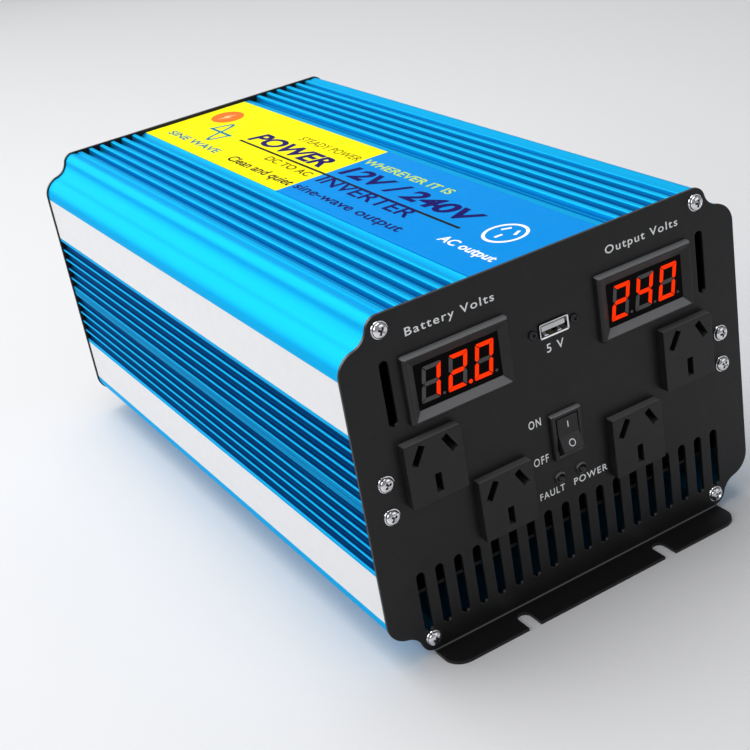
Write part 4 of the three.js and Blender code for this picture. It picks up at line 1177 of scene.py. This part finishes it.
def make_legends():
    """Generic printing on the front panel."""
    legends = (
        ("legend_battery", "Battery Volts", -45, 139.0, 40, 3.3),
        ("legend_output", "Output Volts", 47, 139.0, 37, 3.3),
        ("legend_port", "5 V", 0, 108.5, 8.4, 3.6),
        ("legend_on", "ON", -14.3, 79.0, 6.0, 3.5),
        ("legend_off", "OFF", -13.4, 61.6, 7.4, 3.5),
        ("legend_fault", "FAULT", -9.9, 45.4, 12.6, 3.0),
        ("legend_power", "POWER", 9.9, 45.4, 17.4, 3.0),
    )
    for name, text, x, z, width, cap in legends:
        mesh = moved(lettering(text, width, cap, weight=0.008, spacing=1.2), x, FRONT_FACE - 0.03, z)
        piece(name, mesh, INK_WHITE)


# ------------------------------------------------------------------ rear fittings


def make_fan(side, sign):
    x = sign * FAN_X
    low, high = box_mm(f"fan_frame_{side}")
    depth = high.y - low.y
    outline = rounded_rectangle(x, FAN_Z, 60, 60, 4, 6)
    bores = [circle(x, FAN_Z, FAN_BORE, 72)]
    for dx in (-FAN_SCREW_OUT, FAN_SCREW_OUT):
        for dz in (-FAN_SCREW_OUT, FAN_SCREW_OUT):
            bores.append(circle(x + dx, FAN_Z + dz, 2.1, 20))
    casing = moved(sheet([outline, *bores], depth, 0.3), y=low.y)
    holder = turned([(0, 0), (13.2, 0), (13.5, 0.3), (13.5, 2.7), (13.2, 3), (0, 3)])
    moved(holder, x, low.y, FAN_Z)
    struts = []
    strut_section = filleted([(0, -1.4, 0.4), (3, -1.4, 0.4), (3, 1.4, 0.4), (0, 1.4, 0.4)])
    for k in range(4):
        strut = extrude_x(strut_section, 13, FAN_BORE + 0.5)
        turned_by(strut, 45 + 90 * k, "Y")
        struts.append(moved(strut, x, low.y, FAN_Z))
    mesh = joined([casing, holder, *struts])
    piece(f"fan_casing_{side}", mesh, BLACK, replaces=[f"fan_frame_{side}"])
    make_rotor(side, x)
    make_guard(side, x)


def make_rotor(side, x):
    low, high = box_mm(f"fan_rotor_{side}")
    y0, y1 = low.y + 1.9, high.y
    hub_r, tip_r = 12.5, 27.4
    hub = turned([(0, y1 - 0.25), (5.2, y1 - 0.25), (5.6, y1), (hub_r - 1.2, y1), (hub_r - 0.3, y1 - 0.35),
                  (hub_r, y1 - 1.2), (hub_r, y0), (2, y0), (2, low.y), (0, low.y)], 64)
    blades = []
    for k in range(7):
        vertices, faces = [], []
        rows, columns = 9, 11
        for i in range(rows):
            t = i / (rows - 1)
            r = hub_r - 0.4 + (tip_r - hub_r + 0.4) * t
            chord = math.radians(50 - 10 * t)
            for j in range(columns):
                s = j / (columns - 1) - 0.5
                angle = chord * s + 0.18 * t
                y = (y0 + y1) / 2 + s * (y1 - y0 - 0.8) + 0.9 * math.cos(math.pi * s)
                vertices.append((r * math.cos(angle), y, r * math.sin(angle)))
        for i in range(rows - 1):
            for j in range(columns - 1):
                a = i * columns + j
                faces.append((a, a + 1, a + columns + 1, a + columns))
        item = temporary(mesh_from(vertices, faces))
        modifier = item.modifiers.new("thickness", "SOLIDIFY")
        modifier.thickness = 1.0
        modifier.offset = 0
        blades.append(turned_by(applied(item), 360 * k / 7, "Y"))
    mesh = moved(joined([hub, *blades]), x, 0, FAN_Z)
    piece(f"fan_impeller_{side}", mesh, BLACK, body=f"{side}_rotor",
          replaces=[f"fan_rotor_{side}"], sharp=40)


def make_guard(side, x):
    """Concentric wires on four spokes whose ends are looped round the fan screws."""
    low, high = box_mm(f"fan_guard_{side}")
    wire = 0.75
    ring_y, spoke_y = high.y - wire, low.y + 0.55
    eye = FAN_SCREW_OUT * math.sqrt(2)
    meshes = [moved(torus(radius, wire), y=ring_y) for radius in (7, 13, 19, 25, 31)]
    for k in range(4):
        bar = turned([(wire * 0.8, 7), (wire * 0.8, eye - 2.9)], 12)
        bar = turned_by(bar, -90, "Z")
        loop = moved(torus(2.6, wire * 0.8, 32, 10), eye)
        spoke = turned_by(moved(joined([bar, loop]), y=spoke_y), 45 + 90 * k, "Y")
        meshes.append(spoke)
    piece(f"fan_grille_{side}", moved(joined(meshes), x, 0, FAN_Z), WIRE_CHROME,
          replaces=[f"fan_guard_{side}"])
    master = screw_mesh(2.9, 1.8, False)
    for k, (across, above) in enumerate(((-1, -1), (1, -1), (-1, 1), (1, 1))):
        mesh = turned_by(master.copy(), 17 * k + 5, "Y")
        moved(mesh, x + across * FAN_SCREW_OUT, -1.2, FAN_Z + above * FAN_SCREW_OUT)
        piece(f"fan_screw_{side}_{k + 1}", to_rear(mesh), BLACK_SCREW, sharp=30)


def thread(radius, y0, y1, pitch, segments=32):
    """A threaded rod about Y, with rings of thread from y0 to y1."""
    profile = [(0, y0), (radius - 0.7, y0)]
    y = y0 + 0.5
    while y < y1 - pitch:
        profile.append((radius - 0.55, y))
        profile.append((radius, y + pitch * 0.4))
        profile.append((radius, y + pitch * 0.55))
        y += pitch
    profile.extend([(radius - 0.55, y), (radius - 0.1, y1), (0, y1)])
    return turned(profile, segments)


def hex_nut(across, y0, y1, bore):
    """A chamfered hexagon with a flat face at each end."""
    corner = across / math.sqrt(3)
    blank = extrude_y(circle(0, 0, corner, 6), y0, y1)
    cap = corner - 0.55
    outer = corner + 0.1
    profile = [(0, y0 - 0.01), (cap, y0 - 0.01), (outer, y0 + 0.7), (outer, y1 - 0.1), (0, y1 - 0.1)]
    limit = turned(profile, 64)
    nut = boolean(blank, limit, "INTERSECT")
    return boolean(nut, turned([(0, y0 - 1), (bore, y0 - 1), (bore, y1 + 1), (0, y1 + 1)], 32))


def make_terminals():
    reach = box_mm("positive_terminal_stud")[1].y - REAR_FACE
    for name, x, surface, slot in (("negative", TERMINAL_X, BLACK_SMOOTH, "black_plastic"),
                                   ("positive", -TERMINAL_X, RED, "red_plastic")):
        collar = turned([
            (4.4, 2.5), (6.4, 2.5), (6.4, -0.02), (11.8, -0.02), (12, -0.3), (12, -1.6), (10.4, -2.2),
            (10.4, -2.8), (11.4, -3.4), (11.4, -6.2), (10.8, -6.9), (4.6, -6.95), (4.4, -6.7), (4.4, 2.5),
        ], 64)
        stud = thread(4, -reach, 6, 1.25)
        washer = turned([(4.3, -7.3), (8.5, -7.3), (8.6, -7.6), (8.5, -8.6), (4.3, -8.7)], 48)
        ring = turned([(4.2, -8.8), (6.9, -8.8), (7.0, -9.1), (7.0, -10.1), (6.8, -10.3), (4.2, -10.3)], 48)
        nut = hex_nut(13, -16.3, -10.35, 3.9)
        parts = (
            ("collar", collar, surface, slot, "base", 30),
            ("threaded_stud", stud, BRASS, "terminal_brass", "stud", 25),
            ("hex_nut", joined([nut, washer, ring]), BRASS, "terminal_brass", "nut", 25),
        )
        for part, mesh, finish, part_slot, node, sharp in parts:
            moved(mesh, x, 0, TERMINAL_Z)
            piece(f"{name}_{part}", to_rear(mesh), finish,
                  replaces=[f"{name}_terminal_{node}"], sharp=sharp)
        marks = [extrude_y(rounded_rectangle(0, 0, 6, 1.4, 0.2), -0.03, 0.01)]
        if name == "positive":
            marks.append(extrude_y(rounded_rectangle(0, 0, 1.4, 6, 0.2), -0.04, 0.005))
        mark = moved(joined(marks), x, 0, TERMINAL_Z + 17)
        piece(f"{name}_mark", to_rear(mark), INK_WHITE)


def make_earth_screw():
    head = turned([
        (0, -3.6), (2.6, -3.5), (4.2, -2.7), (4.9, -1.6), (5, -0.9), (5, -0.02),
        (2.4, -0.02), (2.4, 8), (0, 8),
    ])
    rings = [[(-5.5, y, -h), (5.5, y, -h), (5.5, y, h), (-5.5, y, h)] for y, h in ((-5, 0.6), (-2.3, 0.5))]
    drive = loft(rings)
    mesh = moved(boolean(head, drive), 0, 0, TERMINAL_Z)
    piece("earth_slotted_screw", to_rear(mesh), BRASS, replaces=["earth_screw"], sharp=30)
    bars = [extrude_y(rounded_rectangle(0, dz, width, 0.8, 0.1), -0.03, 0.01)
            for dz, width in ((0, 7), (-1.8, 4.6), (-3.6, 2.2))]
    bars.append(extrude_y(rounded_rectangle(0, 2.2, 0.8, 4.4, 0.1), -0.04, 0.005))
    piece("earth_mark", to_rear(moved(joined(bars), 0, 0, TERMINAL_Z + 13)), INK_WHITE)


# ------------------------------------------------------------------ inside pieces, carried over from CAD


def finish_inside():
    """Rounds the edges of the inner CAD nodes and gives them their materials."""
    finishes = {
        "main_board": BOARD_BLACK, "control_board": BOARD_BLACK, "transformer_core": FERRITE,
        "transformer_winding": WINDING, "output_choke": WINDING, "bus_capacitor": SLEEVE,
        "input_capacitor_left": SLEEVE, "input_capacitor_right": SLEEVE,
        "transistor_bank_left": BARE, "transistor_bank_right": BARE,
        "negative_busbar": COPPER, "positive_busbar": COPPER,
    }
    for node, surface in finishes.items():
        item = frame["nodes"][node]
        item.data.materials.clear()
        item.data.materials.append(surface)
        round_edges(item, 0.25 * METRE, angle=50)


# ------------------------------------------------------------------ studio


def make_floor():
    mesh = mesh_from([(-3, -3, 0), (3, -3, 0), (3, 3, 0), (-3, 3, 0)], [(0, 1, 2, 3)])
    floor = placed("studio_floor", mesh)
    made = Surface("studio_paper", (0.72, 0.72, 0.73), 0.7)
    made.bump(made.noise(1.5), 0.02, 0.3)
    mesh.materials.append(made.material)


def add_light(name, place, target, width, height, power):
    light = bpy.data.lights.new(name, "AREA")
    light.shape = "RECTANGLE"
    light.size = width
    light.size_y = height
    light.energy = power
    item = placed(name, light)
    item.location = place
    item.rotation_euler = (Vector(target) - Vector(place)).to_track_quat("-Z", "Y").to_euler()


def make_lighting():
    world = bpy.data.worlds.new("studio")
    world.use_nodes = True
    background = world.node_tree.nodes["Background"]
    background.inputs["Color"].default_value = (0.9, 0.92, 0.95, 1)
    background.inputs["Strength"].default_value = 0.3
    bpy.context.scene.world = world
    middle = (0, 0, 0.08)
    add_light("back_left_softbox", (-0.65, 1.35, 0.8), middle, 1.7, 1.4, 12.5)
    add_light("back_right_softbox", (0.85, 1.3, 0.85), middle, 1.3, 1.0, 2.6)
    add_light("top_softbox", (-0.15, 0.2, 1.3), middle, 1.0, 1.0, 12)
    add_light("key_softbox", (-1.3, -0.3, 0.9), middle, 0.8, 0.8, 7)
    add_light("front_fill", (0.7, -1.4, 0.7), middle, 1.0, 0.8, 2)
    bpy.context.scene.view_settings.view_transform = "Standard"
    bpy.context.scene.view_settings.look = "None"


def make_camera():
    """The view from the front left, slightly rolled, that shows front, left side and top."""
    target = Vector((0.0027, 0, 0.0385))
    azimuth, elevation, roll = (math.radians(v) for v in (26.36, 25.93, -10.43))
    distance = 0.733
    forward = Vector((math.sin(azimuth) * math.cos(elevation), math.cos(azimuth) * math.cos(elevation),
                      -math.sin(elevation)))
    level = Vector((math.cos(azimuth), -math.sin(azimuth), 0))
    right = level * math.cos(roll) + level.cross(forward) * math.sin(roll)
    up = right.cross(forward)
    data = bpy.data.cameras.new("camera")
    data.lens = 69.31
    data.sensor_width = 36
    data.clip_start = 0.01
    camera = placed("camera", data)
    rotation = Matrix((right, up, -forward)).transposed().to_4x4()
    camera.matrix_world = Matrix.Translation(target - forward * distance) @ rotation
    bpy.context.scene.camera = camera


make_camera()
make_floor()
make_lighting()
make_shells()
make_trims()
make_label()
make_panels()
make_screws()
make_meter("battery_meter", *METERS["battery_meter"], "120", 1)
make_meter("output_meter", *METERS["output_meter"], "240", None)
make_port()
make_switch()
make_lights()
make_outlets()
make_legends()
for side_name, side_sign in SIDES:
    make_fan(side_name, side_sign)
make_terminals()
make_earth_screw()
finish_inside()

bpy.context.view_layer.update()
